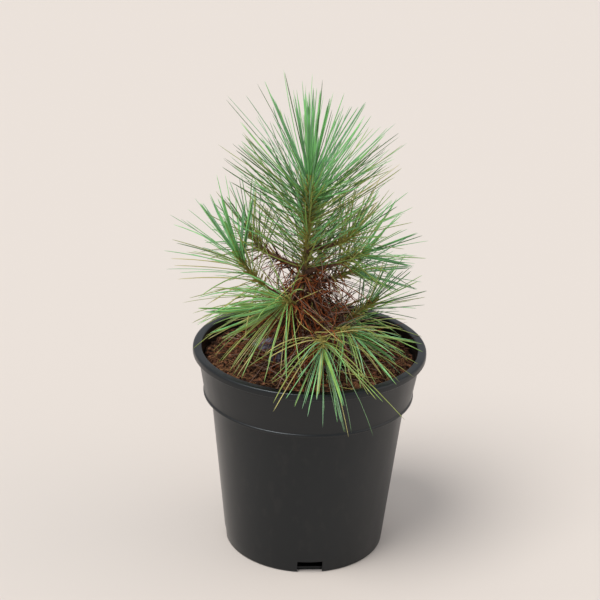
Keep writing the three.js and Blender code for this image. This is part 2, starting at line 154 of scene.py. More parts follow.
# Sprays for each needle of the solid, mean number of needles in an open bundle, share of
# closed bundles at the tip, droop of open bundles at the foot and the tip, droop of closed
# ones, length of the youngest and of closed ones, and how old the undersides look
Habit = namedtuple(
    "Habit",
    "fineness mean closed foot_droop tip_droop closed_droop young closed_length under",
)
HABITS = {
    name: Habit(*row) for name, *row in (
        ("left", 1.0, 2.0, 0.00, 0.24, 0.04, -0.02, 1.0, 0.8, 0.3),
        ("back_left", 1.0, 1.8, 0.00, 0.06, 0.02, 0.00, 1.0, 1.0, 0.3),
        ("front_left", 1.3, 3.0, 0.00, 0.44, 0.18, -0.13, 1.0, 0.92, 1.6),
        ("front", 1.0, 1.3, 0.00, 0.36, 0.22, 0.08, 0.90, 0.94, 0.2),
        ("front_right", 1.0, 1.9, 0.30, 0.34, 0.18, 0.04, 0.95, 1.0, 0.3),
        ("right_low", 1.1, 1.7, 0.00, 0.12, 0.02, 0.00, 0.9, 1.0, 0.2),
        ("right_middle", 1.0, 1.4, 0.30, 0.12, 0.04, 0.00, 1.0, 1.0, 0.3),
        ("right_upper", 1.0, 1.5, 0.50, 0.10, 0.02, -0.02, 1.0, 1.0, 0.3),
        ("right_high", 1.0, 1.7, 0.10, 0.08, 0.00, -0.02, 1.0, 1.0, 0.3),
        ("back_high", 1.0, 2.2, 0.30, 0.10, 0.00, 0.00, 1.0, 1.0, 0.3),
        ("back_middle", 1.0, 1.8, 0.30, 0.12, 0.04, 0.00, 0.9, 1.0, 0.3),
        ("back_low", 1.0, 1.8, 0.20, 0.24, 0.10, 0.06, 0.9, 1.0, 0.3),
        ("back_right", 1.0, 1.6, 0.20, 0.24, 0.10, 0.06, 0.85, 1.0, 0.3),
        ("leader_lower", 2.0, 2.4, 0.00, 0.60, 0.40, 0.00, 0.70, 1.0, 0.0),
        ("leader_middle", 1.3, 2.3, 0.00, -0.12, -0.22, 0.00, 1.0, 1.0, 0.2),
        ("leader_upper", 1.3, 2.2, 0.00, -0.10, -0.16, 0.00, 1.0, 1.0, 0.2),
        ("leader_top", 1.3, 1.65, 0.00, 0.00, 0.00, 0.00, 1.0, 0.86, 0.0),
    )
}
# Masses whose closed bundles are named by number, from the foot up
CLOSED = {
    "left": (19, 25, 27, 29, 30, 34, 37),
    "front_left": (33, 36, 37, 38, 39, 40, 41, 42),
    "front": (37, 39, 40),
    "leader_top": (34, 39, 48, 50, 52, 53, 54, 55),
}
# Bundles that have been shed, by number
SHED = {
    "front_left": (0, 1, 3, 4, 6, 7, 10, 11, 14, 17, 20, 24, 34),
    "front": (1, 3, 6, 11, 14, 16, 19),
    "front_right": (1, 3, 6, 11, 14),
    "right_upper": (10,),
    "right_high": (7, 12),
}
# Bundles that turn back to the trunk by more than this are shaded, and few of them live
SHADED = 0.45
SHADED_KEPT = 0.3
# The most needles that a bundle has
MOST_NEEDLES = 8
# What open and closed bundles have: the most that a needle falls short of the bundle, how far
# its root stands from the bundle's middle, and how far it bends out and sways. Closed ones
# also have their width beside open ones, and how many needles they have where they are named
# by number and where chance closes them
OPEN = SimpleNamespace(trim=0.26, stand=0.25, bend=0.12, sway=0.1)
SHUT = SimpleNamespace(
    trim=0.2, stand=(0.25, 0.75), bend=0.0, sway=0.05, width=1.1,
    needles_named=MOST_NEEDLES, needles_by_chance=5,
)
# How much more bend and sway the drooping masses have
LIMPNESS = 3.0
# Share of open needles that have outgrown the rest, and by how much
STRAY = 0.14
STRAY_LENGTH = 1.15
# What is added to a mass's seed for its bundles, and the seeds of what belongs to no one mass
SPRAY_SEED = 500
WITHERED_SEED = 900
WITHERED_TINT_SEED = 950
ROLL_SEED = 77
WIDTH_SEED = 78
OPENING_SEED = 83
# How far living and dead needles keep from the pot and the compost
LIVING_GAP = 0.35
WITHERED_GAP = 0.3
# Openings through the crown, along the line of sight: the middle and radius of each, and the
# share of the needles that cross it which stay
SIGHT = np.array([0.0, -0.9265, 0.3764])
OPENINGS = (((-16.3, 0.0, 124.9), 5.6, 0.17), ((17.0, 0.0, 120.5), 4.4, 0.25))

# Dead needles that hang on the wood: where they start and end along it, how many, the shortest
# and longest, how far they lie along the wood, and the share of pale ones
Withered = namedtuple("Withered", "start end count shortest longest along pale")
WITHERED = {
    name: Withered(*row) for name, *row in (
        ("trunk", 0.02, 0.50, 560, 6, 18, 0.3, 0.0),
        ("left", 0.12, 0.46, 22, 6, 12, 1.0, 0.0),
        ("back_left", 0.10, 0.62, 60, 6, 12, 1.6, 0.0),
        ("front_left", 0.06, 0.72, 84, 9, 20, 0.6, 0.0),
        ("front", 0.06, 0.72, 96, 9, 20, 0.6, 0.0),
        ("front_right", 0.06, 0.66, 96, 9, 20, 0.5, 0.45),
        ("right_low", 0.06, 0.56, 110, 9, 20, 0.5, 0.55),
        ("right_middle", 0.12, 0.52, 30, 8, 16, 0.8, 0.2),
        ("right_upper", 0.12, 0.50, 18, 8, 14, 1.0, 0.0),
        ("right_high", 0.15, 0.50, 10, 8, 14, 1.0, 0.0),
        ("back_high", 0.15, 0.50, 12, 8, 14, 1.0, 0.0),
        ("back_middle", 0.06, 0.52, 60, 8, 18, 0.8, 0.0),
        ("back_low", 0.10, 0.52, 26, 9, 18, 0.6, 0.0),
        ("back_right", 0.06, 0.56, 84, 9, 20, 0.6, 0.3),
    )
}
# Fallen needles: how many, how far from the trunk they lie, seed
LITTER = ((90, 30.0, 71), (120, 20.0, 72))

# Needle greens. Bright and deep are partly the real greens of young and old needles and partly
# painted light: bright stands in for lit needles, deep for needles in shade.
TINTS = {
    # Partly painted light: a lighter green for lit needles
    "bright": (0.248, 0.630, 0.203),
    "fresh": (0.188, 0.500, 0.165),
    "glaucous": (0.203, 0.430, 0.215),
    # Partly painted shade: a darker green for shaded needles
    "deep": (0.056, 0.152, 0.034),
    "moss": (0.250, 0.440, 0.100),
    "olive": (0.245, 0.300, 0.055),
    "straw": (0.500, 0.455, 0.145),
}
# How each mass deals these tints out: shares for its oldest and its youngest spray
DEALS = {
    "left": ((0, 0, 0, 3, 12, 40, 45), (34, 20, 26, 5, 12, 3, 0)),
    "back_left": ((0, 0, 0, 25, 15, 42, 18), (5, 25, 12, 25, 15, 18, 0)),
    "front_left": ((0, 0, 0, 3, 34, 35, 28), (22, 14, 2, 2, 40, 13, 7)),
    "front": ((0, 2, 2, 12, 12, 44, 28), (4, 10, 26, 12, 20, 22, 6)),
    "front_right": ((0, 0, 3, 15, 15, 40, 27), (4, 12, 26, 17, 23, 18, 0)),
    "right_low": ((0, 3, 0, 36, 20, 31, 10), (6, 20, 0, 36, 26, 9, 3)),
    "right_middle": ((0, 3, 6, 25, 18, 38, 10), (16, 20, 24, 12, 20, 8, 0)),
    "right_upper": ((0, 5, 0, 23, 16, 43, 13), (24, 26, 6, 8, 20, 14, 2)),
    "right_high": ((0, 0, 0, 12, 14, 38, 36), (8, 14, 4, 10, 16, 28, 20)),
    "back_high": ((0, 4, 4, 35, 12, 40, 5), (10, 30, 13, 30, 10, 7, 0)),
    "back_middle": ((0, 4, 4, 35, 12, 35, 10), (10, 30, 13, 30, 10, 7, 0)),
    "back_low": ((0, 4, 0, 30, 12, 36, 18), (9, 32, 8, 30, 13, 8, 0)),
    "back_right": ((0, 4, 0, 30, 12, 36, 18), (9, 32, 13, 25, 13, 8, 0)),
    "leader_middle": ((0, 3, 3, 33, 14, 42, 5), (4, 15, 10, 33, 18, 20, 0)),
    "leader_upper": ((0, 5, 6, 32, 16, 37, 4), (6, 24, 20, 26, 12, 12, 0)),
    "leader_top": ((3, 30, 25, 34, 5, 3, 0), (34, 36, 20, 10, 0, 0, 0)),
}
# Share of needles whose tint is their own and not their bundle's
OWN_TINT = 0.5
WITHERED_TINTS = {
    "rust": (0.270, 0.072, 0.022),
    # Partly painted shade: darker than the dead needles' own brown, for the dark hollows of the
    # dead mass round the lower trunk
    "umber": (0.042, 0.017, 0.010),
    "tan": (0.300, 0.190, 0.150),
    "straw": TINTS["straw"],
}
# Share of dead needles up to and with each tint
WITHERED_DEAL = np.array([0.42, 0.82, 0.94, 1.0])


# --- Settings a user would change

length_setting = partial(FloatProperty, unit="LENGTH")
angle_setting = partial(FloatProperty, subtype="ANGLE")
colour_setting = partial(FloatVectorProperty, size=3, subtype="COLOR")


class PinePotSettings(bpy.types.PropertyGroup):
    """Pot and compost."""

    plastic: colour_setting(
        name="Plastic", description="Colour of the pot", default=(0.0032, 0.0031, 0.0033)
    )
    dust: colour_setting(
        name="Dust", description="Colour of the dust on the pot", default=(0.17, 0.14, 0.12)
    )
    coir: colour_setting(
        name="Coir", description="Colour of the compost", default=(0.096, 0.040, 0.021)
    )
    crumbs: IntProperty(
        name="Crumbs", description="Loose crumbs on the compost", default=7500, min=0
    )
    fibres: IntProperty(
        name="Fibres", description="Loose fibres on the compost", default=1300, min=0
    )


class PineWoodSettings(bpy.types.PropertyGroup):
    """Bark of the trunk, boughs and young stems."""

    relief: length_setting(
        name="Bark relief", description="Height of the bark's ridges", default=0.22 * MM, min=0.0
    )
    bark: colour_setting(
        name="Bark", description="Colour of the old bark", default=(0.100, 0.048, 0.028)
    )
    young: colour_setting(
        name="Young stem", description="Colour of this year's stems",
        default=(0.215, 0.190, 0.042),
    )


class PineNeedleSettings(bpy.types.PropertyGroup):
    """Width of the needles and how they stand in a bundle."""

    width: length_setting(
        name="Needle width", description="Width of a needle at its middle",
        default=0.52 * MM, min=0.0,
    )
    dead_width: length_setting(
        name="Dead needle width", description="Width of a dead needle at its middle",
        default=0.46 * MM, min=0.0,
    )
    fan: angle_setting(
        name="Bundle fan", description="How far an open bundle's needles lean apart",
        default=math.radians(7.0),
    )
    pinch: angle_setting(
        name="Closed fan", description="How far a closed bundle's needles lean apart",
        default=math.radians(-0.45),
    )


class PineStageSettings(bpy.types.PropertyGroup):
    """Floor, light and camera."""

    floor: colour_setting(
        name="Floor", description="Colour of the floor", default=(0.645, 0.592, 0.550)
    )
    sky: FloatProperty(name="Sky", description="Strength of the even light", default=0.62)
    window: FloatProperty(
        name="Window", description="Strength of the soft light from the left", default=2.3
    )
    fill: FloatProperty(
        name="Fill", description="Strength of the soft light from the right", default=0.65
    )
    distance: length_setting(
        name="Camera distance", description="From the camera to its target",
        default=641.6 * MM,
    )
    elevation: angle_setting(
        name="Camera elevation", description="Angle that the camera looks down at",
        default=math.radians(22.11),
    )
    roll: angle_setting(
        name="Camera roll", description="Turn of the camera about its own axis", default=0.032
    )
    lens: FloatProperty(
        name="Lens", description="Focal length for a 36 mm sensor", default=89.5
    )
    target: FloatVectorProperty(
        name="Camera target", description="Point that the camera looks at",
        default=(-4.86 * MM, 0.0, 114.0 * MM), size=3, subtype="XYZ", unit="LENGTH",
    )


# --- Numbers and vectors as whole arrays


class Rows(SimpleNamespace):
    """Bundles or needles as arrays of one length, a row for each."""

    def pick(self, rows):
        """The same arrays with some of their rows."""
        return Rows(**{name: values[rows] for name, values in vars(self).items()})


def scrambled(angle):
    """A repeatable number from 0 to 1: the fraction of a large sine."""
    wave = np.sin(angle) * 43758.5453
    return wave - np.floor(wave)


def chance(seed, index, channel):
    """A repeatable number from 0 to 1 for each index: its three inputs, weighed and added,
    are the angle that is scrambled."""
    return scrambled(seed * 12.9898 + np.asarray(index) * 78.233 + channel * 37.719)


def mix(low, high, share):
    """The value at a share of the way from low to high."""
    return low + (high - low) * share


def smooth(share):
    """Eases from 0 to 1: three times the square less twice the cube."""
    share = np.clip(share, 0.0, 1.0)
    return share * share * (3.0 - 2.0 * share)


def unit(vectors):
    """The same directions with a length of one."""
    return vectors / np.linalg.norm(vectors, axis=-1, keepdims=True)


def heading(azimuth, elevation):
    """Unit vectors at an azimuth and an elevation in degrees."""
    a, e = np.broadcast_arrays(np.radians(azimuth), np.radians(elevation))
    return np.stack([np.cos(e) * np.cos(a), np.cos(e) * np.sin(a), np.sin(e)], axis=-1)


def cross_axes(tangent, side):
    """Two unit vectors square to the tangent: side without its part along it, and a third."""
    first = unit(side - (side * tangent).sum(-1, keepdims=True) * tangent)
    return first, np.cross(tangent, first)


def facing(axes, turn):
    """Unit vectors at a turn from the first of two axes towards the second."""
    return axes[0] * np.cos(turn)[:, None] + axes[1] * np.sin(turn)[:, None]


def lattice(cells, seed):
    """A repeatable number from 0 to 1 for each whole-numbered cell."""
    weights = np.array([127.1, 311.7, 74.7])[: cells.shape[-1]]
    return scrambled(cells @ weights + seed * 53.3)


def noise(points, seed):
    """Value noise from -1 to 1: numbers on a lattice, eased between the cell's corners."""
    cells = np.floor(points)
    share = smooth(points - cells)
    total = np.zeros(points.shape[:-1])
    for corner in np.ndindex(*(2,) * points.shape[-1]):
        corner = np.array(corner, float)
        weight = np.where(corner > 0, share, 1.0 - share).prod(-1)
        total += weight * lattice(cells + corner, seed)
    return 2.0 * total - 1.0


def fractal(points, octaves, seed):
    """Noise added to itself at twice the scale and half the height, octave by octave."""
    return sum(noise(points * 2.0**k, seed + k) / 2.0**k for k in range(octaves))


# --- Meshes from arrays


def mesh_object(name, shape, material):
    """A smooth mesh object from points in millimetres and corner numbers, three to a face."""
    vertices, triangles = shape
    mesh = bpy.data.meshes.new(name)
    mesh.vertices.add(len(vertices))
    mesh.vertices.foreach_set("co", (vertices * MM).astype(np.float32).ravel())
    mesh.loops.add(triangles.size)
    mesh.loops.foreach_set("vertex_index", triangles.astype(np.int32).ravel())
    mesh.polygons.add(len(triangles))
    mesh.polygons.foreach_set("loop_start", np.arange(0, triangles.size, 3, dtype=np.int32))
    mesh.update(calc_edges=True)
    mesh.shade_smooth()
    mesh.materials.append(material)
    piece = bpy.data.objects.new(name, mesh)
    bpy.context.scene.collection.objects.link(piece)
    return piece


def carry(piece, slot, *nodes):
    """Seats a finished piece on the plant's one body, in place of the solids it shows."""
    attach(piece, "root")
    if nodes:
        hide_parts(*nodes)


def shell_triangles(rings, sides):
    """Corner numbers of a closed tube of rings, whose two end points come after them: two
    triangles a cell from ring to ring, and a fan round each end point."""
    ring, here = np.meshgrid(np.arange(rings - 1), np.arange(sides), indexing="ij")
    a = ring * sides + here
    b = ring * sides + (here + 1) % sides
    cells = np.stack([a, b, b + sides, a, b + sides, a + sides], axis=-1).reshape(-1, 3)
    here = np.arange(sides)
    after = (here + 1) % sides
    foot_point = np.full(sides, rings * sides)
    last = (rings - 1) * sides
    foot = np.stack([after, here, foot_point], axis=-1)
    top = np.stack([last + here, last + after, foot_point + 1], axis=-1)
    return np.concatenate([cells, foot, top])


def turned(profile, columns, lift=lambda x, y: 0.0 * x):
    """A closed surface of revolution: the profile's radius and height at every azimuth, from
    the axis at its foot to the axis at its top. Lift gives the height to add at each x and y,
    a row of them for each of the profile's corners."""
    azimuth = 2.0 * math.pi * np.arange(columns) / columns
    radius, height = profile[1:-1, :1], profile[1:-1, 1:]
    x, y = radius * np.cos(azimuth), radius * np.sin(azimuth)
    rings = np.stack([x, y, height + lift(x, y)], axis=-1).reshape(-1, 3)
    ends = np.pad(profile[[0, -1], 1:], ((0, 0), (2, 0)))
    return np.concatenate([rings, ends]), shell_triangles(len(profile) - 2, columns)


def tubes(centres, axes, widths, sides, flatness=1.0):
    """Closed tubes along N lines of K points each: every ring is the centre plus width times
    cosine along the first axis and, flattened, width times sine along the second, with a
    point at each end. The widths have one value for each ring, or one for each corner."""
    count, rings = centres.shape[:2]
    turn = 2.0 * math.pi * np.arange(sides) / sides
    rim = (
        centres[:, :, None]
        + axes[0][:, :, None] * (widths * np.cos(turn))[..., None]
        + axes[1][:, :, None] * (flatness * widths * np.sin(turn))[..., None]
    )
    vertices = [rim.reshape(count, -1, 3), centres[:, :1], centres[:, -1:]]
    vertices = np.concatenate(vertices, axis=1)
    starts = vertices.shape[1] * np.arange(count)[:, None, None]
    return vertices.reshape(-1, 3), (shell_triangles(rings, sides) + starts).reshape(-1, 3)


def joined(shapes):
    """Several (vertices, triangles) pairs as one."""
    starts = np.cumsum([0] + [len(vertices) for vertices, _ in shapes[:-1]])
    return (
        np.concatenate([vertices for vertices, _ in shapes]),
        np.concatenate([triangles + start for (_, triangles), start in zip(shapes, starts)]),
    )


# --- Shader parts


def add_node(tree, kind, inputs, **modes):
    """A new shader node's outputs: its modes are set, and each input gets a value or a link."""
    node = tree.nodes.new(f"ShaderNode{kind}")
    for name, mode in modes.items():
        setattr(node, name, mode)
    for name, value in inputs.items():
        if isinstance(value, bpy.types.NodeSocket):
            tree.links.new(value, node.inputs[name])
        else:
            node.inputs[name].default_value = value
    return node.outputs


def soft_step(tree, value, given):
    """0 below the group's low level and 1 above its high one, eased between."""
    levels = {"Value": value, "From Min": given["Low"], "From Max": given["High"]}
    return add_node(tree, "MapRange", levels, interpolation_type="SMOOTHSTEP")["Result"]


def blotches(tree, given):
    """Noise on Object coordinates, stretched along Z, cut to a soft mask."""
    place = add_node(tree, "TexCoord", {})["Object"]
    scale = add_node(tree, "CombineXYZ", {"X": 1.0, "Y": 1.0, "Z": given["Stretch"]})
    long = add_node(tree, "VectorMath", {0: place, 1: scale["Vector"]}, operation="MULTIPLY")
    sizes = {"Vector": long["Vector"], "Scale": given["Scale"], "Detail": given["Detail"]}
    return soft_step(tree, add_node(tree, "TexNoise", sizes)["Fac"], given)


def grain(tree, given):
    """Fine noise on Object coordinates, as a bumped normal."""
    place = add_node(tree, "TexCoord", {})["Object"]
    sizes = {"Vector": place, "Scale": given["Scale"], "Detail": 4.0}
    relief = {
        "Height": add_node(tree, "TexNoise", sizes)["Fac"], "Strength": given["Strength"],
        "Distance": given["Height"],
    }
    return add_node(tree, "Bump", relief)["Normal"]


def height_mask(tree, given):
    """A soft mask by the height on Object coordinates."""
    place = add_node(tree, "TexCoord", {})["Object"]
    return soft_step(tree, add_node(tree, "SeparateXYZ", {"Vector": place})["Z"], given)


# Each effect's inputs with their defaults, its output, and what builds it
EFFECTS = {
    "Blotches": (
        {"Scale": 200.0, "Stretch": 1.0, "Detail": 3.0, "Low": 0.4, "High": 0.6},
        ("Mask", "NodeSocketFloat"), blotches,
    ),
    "Grain": (
        {"Scale": 2000.0, "Strength": 0.3, "Height": 0.0001},
        ("Normal", "NodeSocketVector"), grain,
    ),
    "Height": ({"Low": 0.0, "High": 1.0}, ("Mask", "NodeSocketFloat"), height_mask),
}


def effect(tree, name, **values):
    """An effect's output, placed in a material with its own values. Its shader group is built
    once, the first time."""
    defaults, (output, kind), build = EFFECTS[name]
    group = bpy.data.node_groups.get(name)
    if group is None:
        group = bpy.data.node_groups.new(name, "ShaderNodeTree")
        sockets = group.interface
        for label, value in defaults.items():
            socket = sockets.new_socket(label, in_out="INPUT", socket_type="NodeSocketFloat")
            socket.default_value = value
        sockets.new_socket(output, in_out="OUTPUT", socket_type=kind)
        made = build(group, group.nodes.new("NodeGroupInput").outputs)
        group.links.new(made, group.nodes.new("NodeGroupOutput").inputs[output])
    return add_node(tree, "Group", values, node_tree=group)[output]


def tone(colour, factor=1.0):
    """The same colour, lighter or darker, with its alpha."""
    return (*(min(1.0, channel * factor) for channel in colour), 1.0)


def colour_mix(tree, mask, low, high):
    """A colour turned by a mask from one to the other, each a colour or a socket."""
    ends = {"Factor": mask, "A": low, "B": high}
    return add_node(tree, "Mix", ends, data_type="RGBA")["Result"]


def two_tones(tree, colour, dark, light, **blotch):
    """Blotches of a dark and a light tone of one colour."""
    mask = effect(tree, "Blotches", **blotch)
    return colour_mix(tree, mask, tone(colour, dark), tone(colour, light))


def new_material(name, roughness, specular, **bump):
    """A material, its tree and its Principled shader's inputs, with one roughness, one level
    of gloss and, where its values are given, the grain's bump."""
    material = bpy.data.materials.new(name)
    material.use_nodes = True
    tree = material.node_tree
    shader = tree.nodes["Principled BSDF"].inputs
    shader["Roughness"].default_value = roughness
    shader["Specular IOR Level"].default_value = specular
    if bump:
        tree.links.new(effect(tree, "Grain", **bump), shader["Normal"])
    return material, tree, shader


def plastic_material(settings):
    """Moulded black plastic: satin, with a film of dust that varies its shine and tone, a
    collar a shade lighter than the body, and painted shade that darkens the lip."""
    material, tree, shader = new_material(
        "moulded plastic", 0.42, 0.46, Scale=3200.0, Strength=0.25, Height=0.00006
    )
    plastic, dust = np.array(settings.plastic), np.array(settings.dust)
    film = effect(tree, "Blotches", Scale=38.0, Stretch=0.25, Low=0.40, High=0.75)
    scuffs = effect(
        tree, "Blotches", Scale=260.0, Stretch=0.5, Detail=6.0, Low=0.52, High=0.72
    )
    # The collar is a shade lighter than the body: its colour is mixed a little towards the dust's
    collar = effect(tree, "Height", Low=(POT.step - 5.5) * MM, High=(POT.step + 2.5) * MM)
    # Painted shade: the lip, everything above the collar's top, is darkened to 0.7 of the plastic
    lip = effect(tree, "Height", Low=(COLLAR_TOP - 0.6) * MM, High=(COLLAR_TOP + 0.2) * MM)
    colour = colour_mix(tree, film, tone(plastic), tone(plastic, 1.5))
    colour = colour_mix(tree, scuffs, colour, tone(mix(plastic, dust, 0.028)))
    colour = colour_mix(tree, collar, colour, tone(mix(plastic, dust, 0.018)))
    # Paints the lip's shade
    colour = colour_mix(tree, lip, colour, tone(plastic, 0.7))
    shine = add_node(tree, "MapRange", {"Value": film, "To Min": 0.28, "To Max": 0.44})
    tree.links.new(shine["Result"], shader["Roughness"])
    shader["Specular Tint"].default_value = (0.86, 0.94, 1.0, 1.0)
    tree.links.new(colour, shader["Base Color"])
    return material


def earth_material(name, colour, dark, light):
    """Compost: a rough mix of a dark and a light tone of one colour."""
    material, tree, shader = new_material(
        name, 0.92, 0.2, Scale=2400.0, Strength=0.8, Height=0.0004
    )
    mixed = two_tones(tree, colour, dark, light, Scale=420.0, Detail=5.0, Low=0.38, High=0.62)
    tree.links.new(mixed, shader["Base Color"])
    return material


def bark_material(name, scale, low, high=None):
    """Bark: long blotches of a dark and a light tone, rough, with a fine grain. Each of low
    and high is a colour and its two tones, and one turns into the other up the trunk."""
    material, tree, shader = new_material(
        name, 0.8, 0.3, Scale=3000.0, Strength=0.7, Height=0.0003
    )
    blotch = {"Scale": scale, "Stretch": 0.35, "Detail": 5.0, "Low": 0.35, "High": 0.66}
    colour = two_tones(tree, *low, **blotch)
    if high:
        rise = effect(tree, "Height", Low=YOUNG_BARK[0] * MM, High=YOUNG_BARK[1] * MM)
        colour = colour_mix(tree, rise, colour, two_tones(tree, *high, **blotch))
    tree.links.new(colour, shader["Base Color"])
    return material


def needle_material(name, colour, roughness, specular):
    """A needle's waxy skin: one plain colour with a little light and dark in it."""
    material, tree, shader = new_material(name, roughness, specular)
    mixed = two_tones(tree, colour, 0.78, 1.22, Scale=160.0, Detail=2.0, Low=0.3, High=0.7)
    tree.links.new(mixed, shader["Base Color"])
    return material


# --- The pot


def pot_inside(height):
    """Radius of the pot's inside above its step: even between the step and the lip."""
    share = (height - INNER_STEP) / (POT_TOP - INNER_STEP)
    return mix(POT.collar_foot - POT.wall, POT.lip_inner, share)


def pot_body(height):
    """Radius of the pot's outside below its collar: even from the foot up."""
    return mix(POT.foot, POT.body_top, height / POT.step)


def pot_outside(height):
    """Radius of the pot's outside: lip, collar or body, each with even walls."""
    share = (height - POT.step) / (COLLAR_TOP - POT.step)
    collar = mix(POT.collar_foot, POT.collar_top, share)
    wall = np.where(height > POT.step, collar, pot_body(height))
    return np.where(height > COLLAR_TOP, LIP_RADIUS, wall)


def rounded(corners, steps):
    """A line through (x, y, radius) with its corners rounded: each gives way to a quadratic
    arc that starts and ends its radius away along the two sides."""
    radii, corners = corners[:, 2], corners[:, :2]
    points = [corners[:1]]
    share = np.linspace(0.0, 1.0, steps)[:, None]
    for before, corner, after, radius in zip(corners, corners[1:], corners[2:], radii[1:]):
        start = corner + unit(before - corner) * radius
        end = corner + unit(after - corner) * radius
        arc = (1 - share) ** 2 * start + 2 * share * (1 - share) * corner + share**2 * end
        points.append(arc if radius else corner[None])
    return np.concatenate([*points, corners[-1:]])


def subdivided(profile, longest):
    """The profile with points added so that no stretch is longer than the longest."""
    lengths = np.linalg.norm(np.diff(profile, axis=0), axis=1)
    counts = np.maximum(1, np.ceil(lengths / longest)).astype(int)
    pieces = [
        a + (b - a) * np.linspace(0.0, 1.0, n, endpoint=False)[:, None]
        for a, b, n in zip(profile, profile[1:], counts)
    ]
    return np.concatenate([*pieces, profile[-1:]])


def pot_profile():
    """The pot's section from the middle of its underside, up outside, over the lip and down
    inside to the middle of its floor: radius, height and rounding of each corner. A small
    bead runs round the collar's foot."""
    bead = POT.collar_foot + 0.55
    corners = [
        (0.0, 0.0, 0.0),
        (POT.foot - 2.2, 0.0, 0.0),
        (POT.foot, 0.0, 0.9),
        (POT.body_top, POT.step, 0.5),
        (POT.collar_foot, POT.step, 0.3),
        (bead, POT.step + 0.1, 0.25),
        (bead, POT.step + 0.9, 0.3),
        (POT.collar_foot + 0.1, POT.step + 1.3, 0.3),
        (POT.collar_top, COLLAR_TOP, 0.5),
        (LIP_RADIUS, COLLAR_TOP, 0.6),
        (LIP_RADIUS, POT_TOP, 1.1),
        (POT.lip_inner, POT_TOP, 0.8),
        (POT.collar_foot - POT.wall, INNER_STEP, 0.5),
        (POT.body_top - POT.wall, INNER_STEP, 0.5),
        (POT.foot - POT.wall, POT.floor, 0.5),
        (0.0, POT.floor, 0.0),
    ]
    return subdivided(rounded(np.array(corners), 6), 6.0)


def notch_cutter():
    """A box at each drain notch: through the wall, as far as the floor's edge."""
    corners = np.array(list(np.ndindex(2, 2, 2)), float) * 2.0 - 1.0
    box = corners * [NOTCH.depth, NOTCH.width / 2, NOTCH.height] + [POT.foot, 0.0, 0.0]
    faces = np.array(
        [
            [0, 1, 3], [0, 3, 2], [4, 6, 7], [4, 7, 5], [0, 4, 5], [0, 5, 1],
            [2, 3, 7], [2, 7, 6], [0, 2, 6], [0, 6, 4], [1, 5, 7], [1, 7, 3],
        ]
    )
    turns = NOTCH.first_azimuth + 360 * np.arange(NOTCH.count) / NOTCH.count
    spins = [np.array(Matrix.Rotation(math.radians(turn), 3, "Z")) for turn in turns]
    return joined([(box @ spin.T, faces) for spin in spins])


def cut_away(piece, cutter):
    """Cuts one closed mesh out of another and removes the cutter."""
    cut = piece.modifiers.new("notches", "BOOLEAN")
    cut.operation = "DIFFERENCE"
    cut.solver = "EXACT"
    cut.object = cutter
    graph = bpy.context.evaluated_depsgraph_get()
    finished = bpy.data.meshes.new_from_object(piece.evaluated_get(graph))
    piece.modifiers.clear()
    piece.data = finished
    bpy.data.objects.remove(cutter)


class PINE_OT_pot(bpy.types.Operator):
    """Turn the pot and cut its drain notches"""

    bl_idname = "pine.pot"
    bl_label = "Pot"

    def execute(self, context):
        material = plastic_material(context.scene.pine_pot)
        pot = mesh_object("pot_shell", turned(pot_profile(), 192), material)
        cut_away(pot, mesh_object("notch_cutter", notch_cutter(), material))
        pot.data.shade_smooth()
        pot.data.set_sharp_from_angle(angle=math.radians(38))
        carry(pot, "pot_plastic", "pot")
        return {"FINISHED"}


# --- The compost

SOIL_RADIUS = pot_inside(SOIL.edge)


def soil_height(x, y):
    """Height of the compost: a dome that falls with the square of the radius, the solids'
    own lumps, and clods of fractal noise that fade out round the trunk."""
    radius = np.hypot(x, y)
    share = np.minimum(radius / SOIL_RADIUS, 1.0)
    dome = mix(SOIL.centre, SOIL.edge, share * share)
    lumps = np.sin(0.41 * x + 1.3) * np.sin(0.37 * y - 0.6) + np.sin(0.8 * x - 0.7 * y)
    place = np.stack([x, y], axis=-1)
    clods = sum(high * fractal(place * scale, *rest) for high, scale, *rest in CLODS)
    away = smooth((radius - 3.0) / 4.0)
    return dome + away * (SOIL.lump * 0.5 * lumps + clods)


def soil_bed():
    """The compost's closed surface: a flat underside above the drain notches, the pot's
    inside wall less a clearance, and rings across the top, each corner at its own height."""
    foot = NOTCH.height + 2.0
    step = INNER_STEP + CLEARANCE
    edge = SOIL_RADIUS - 0.15
    sides = [
        (0.0, foot),
        (pot_body(foot) - POT.wall - CLEARANCE, foot),
        (POT.body_top - POT.wall - CLEARANCE, step),
        (POT.collar_foot - POT.wall - CLEARANCE, step),
        (edge, SOIL.edge - 1.5),
    ]
    rings = [(radius, 0.0) for radius in np.linspace(edge, 0.0, 96)]
    profile = np.array(sides + rings)
    profile[-1, 1] = soil_height(0.0, 0.0)
    on_top = np.arange(1, len(profile) - 1)[:, None] >= len(sides)
    return turned(profile, 240, lambda x, y: np.where(on_top, soil_height(x, y), 0.0))


def icosahedron():
    """Twelve corners on three crossed golden rectangles, and their twenty faces."""
    g = (1 + 5**0.5) / 2
    rectangle = np.array([(-1, g, 0), (1, g, 0), (-1, -g, 0), (1, -g, 0)])
    corners = np.concatenate([np.roll(rectangle, turn, axis=1) for turn in range(3)])
    faces = [
        (0, 11, 5), (0, 5, 1), (0, 1, 7), (0, 7, 10), (0, 10, 11), (1, 5, 9), (5, 11, 4),
        (11, 10, 2), (10, 7, 6), (7, 1, 8), (3, 9, 4), (3, 4, 2), (3, 2, 6), (3, 6, 8),
        (3, 8, 9), (4, 9, 5), (2, 4, 11), (6, 2, 10), (8, 6, 7), (9, 8, 1),
    ]
    return unit(corners), np.array(faces)


def scatter(count, reach, seed):
    """Places on a disc, evenly dense: radius by the root of a chance, azimuth by another."""
    index = np.arange(count)
    radius = reach * np.sqrt(chance(seed, index, 1))
    azimuth = 2 * math.pi * chance(seed, index, 2)
    return radius * np.cos(azimuth), radius * np.sin(azimuth)


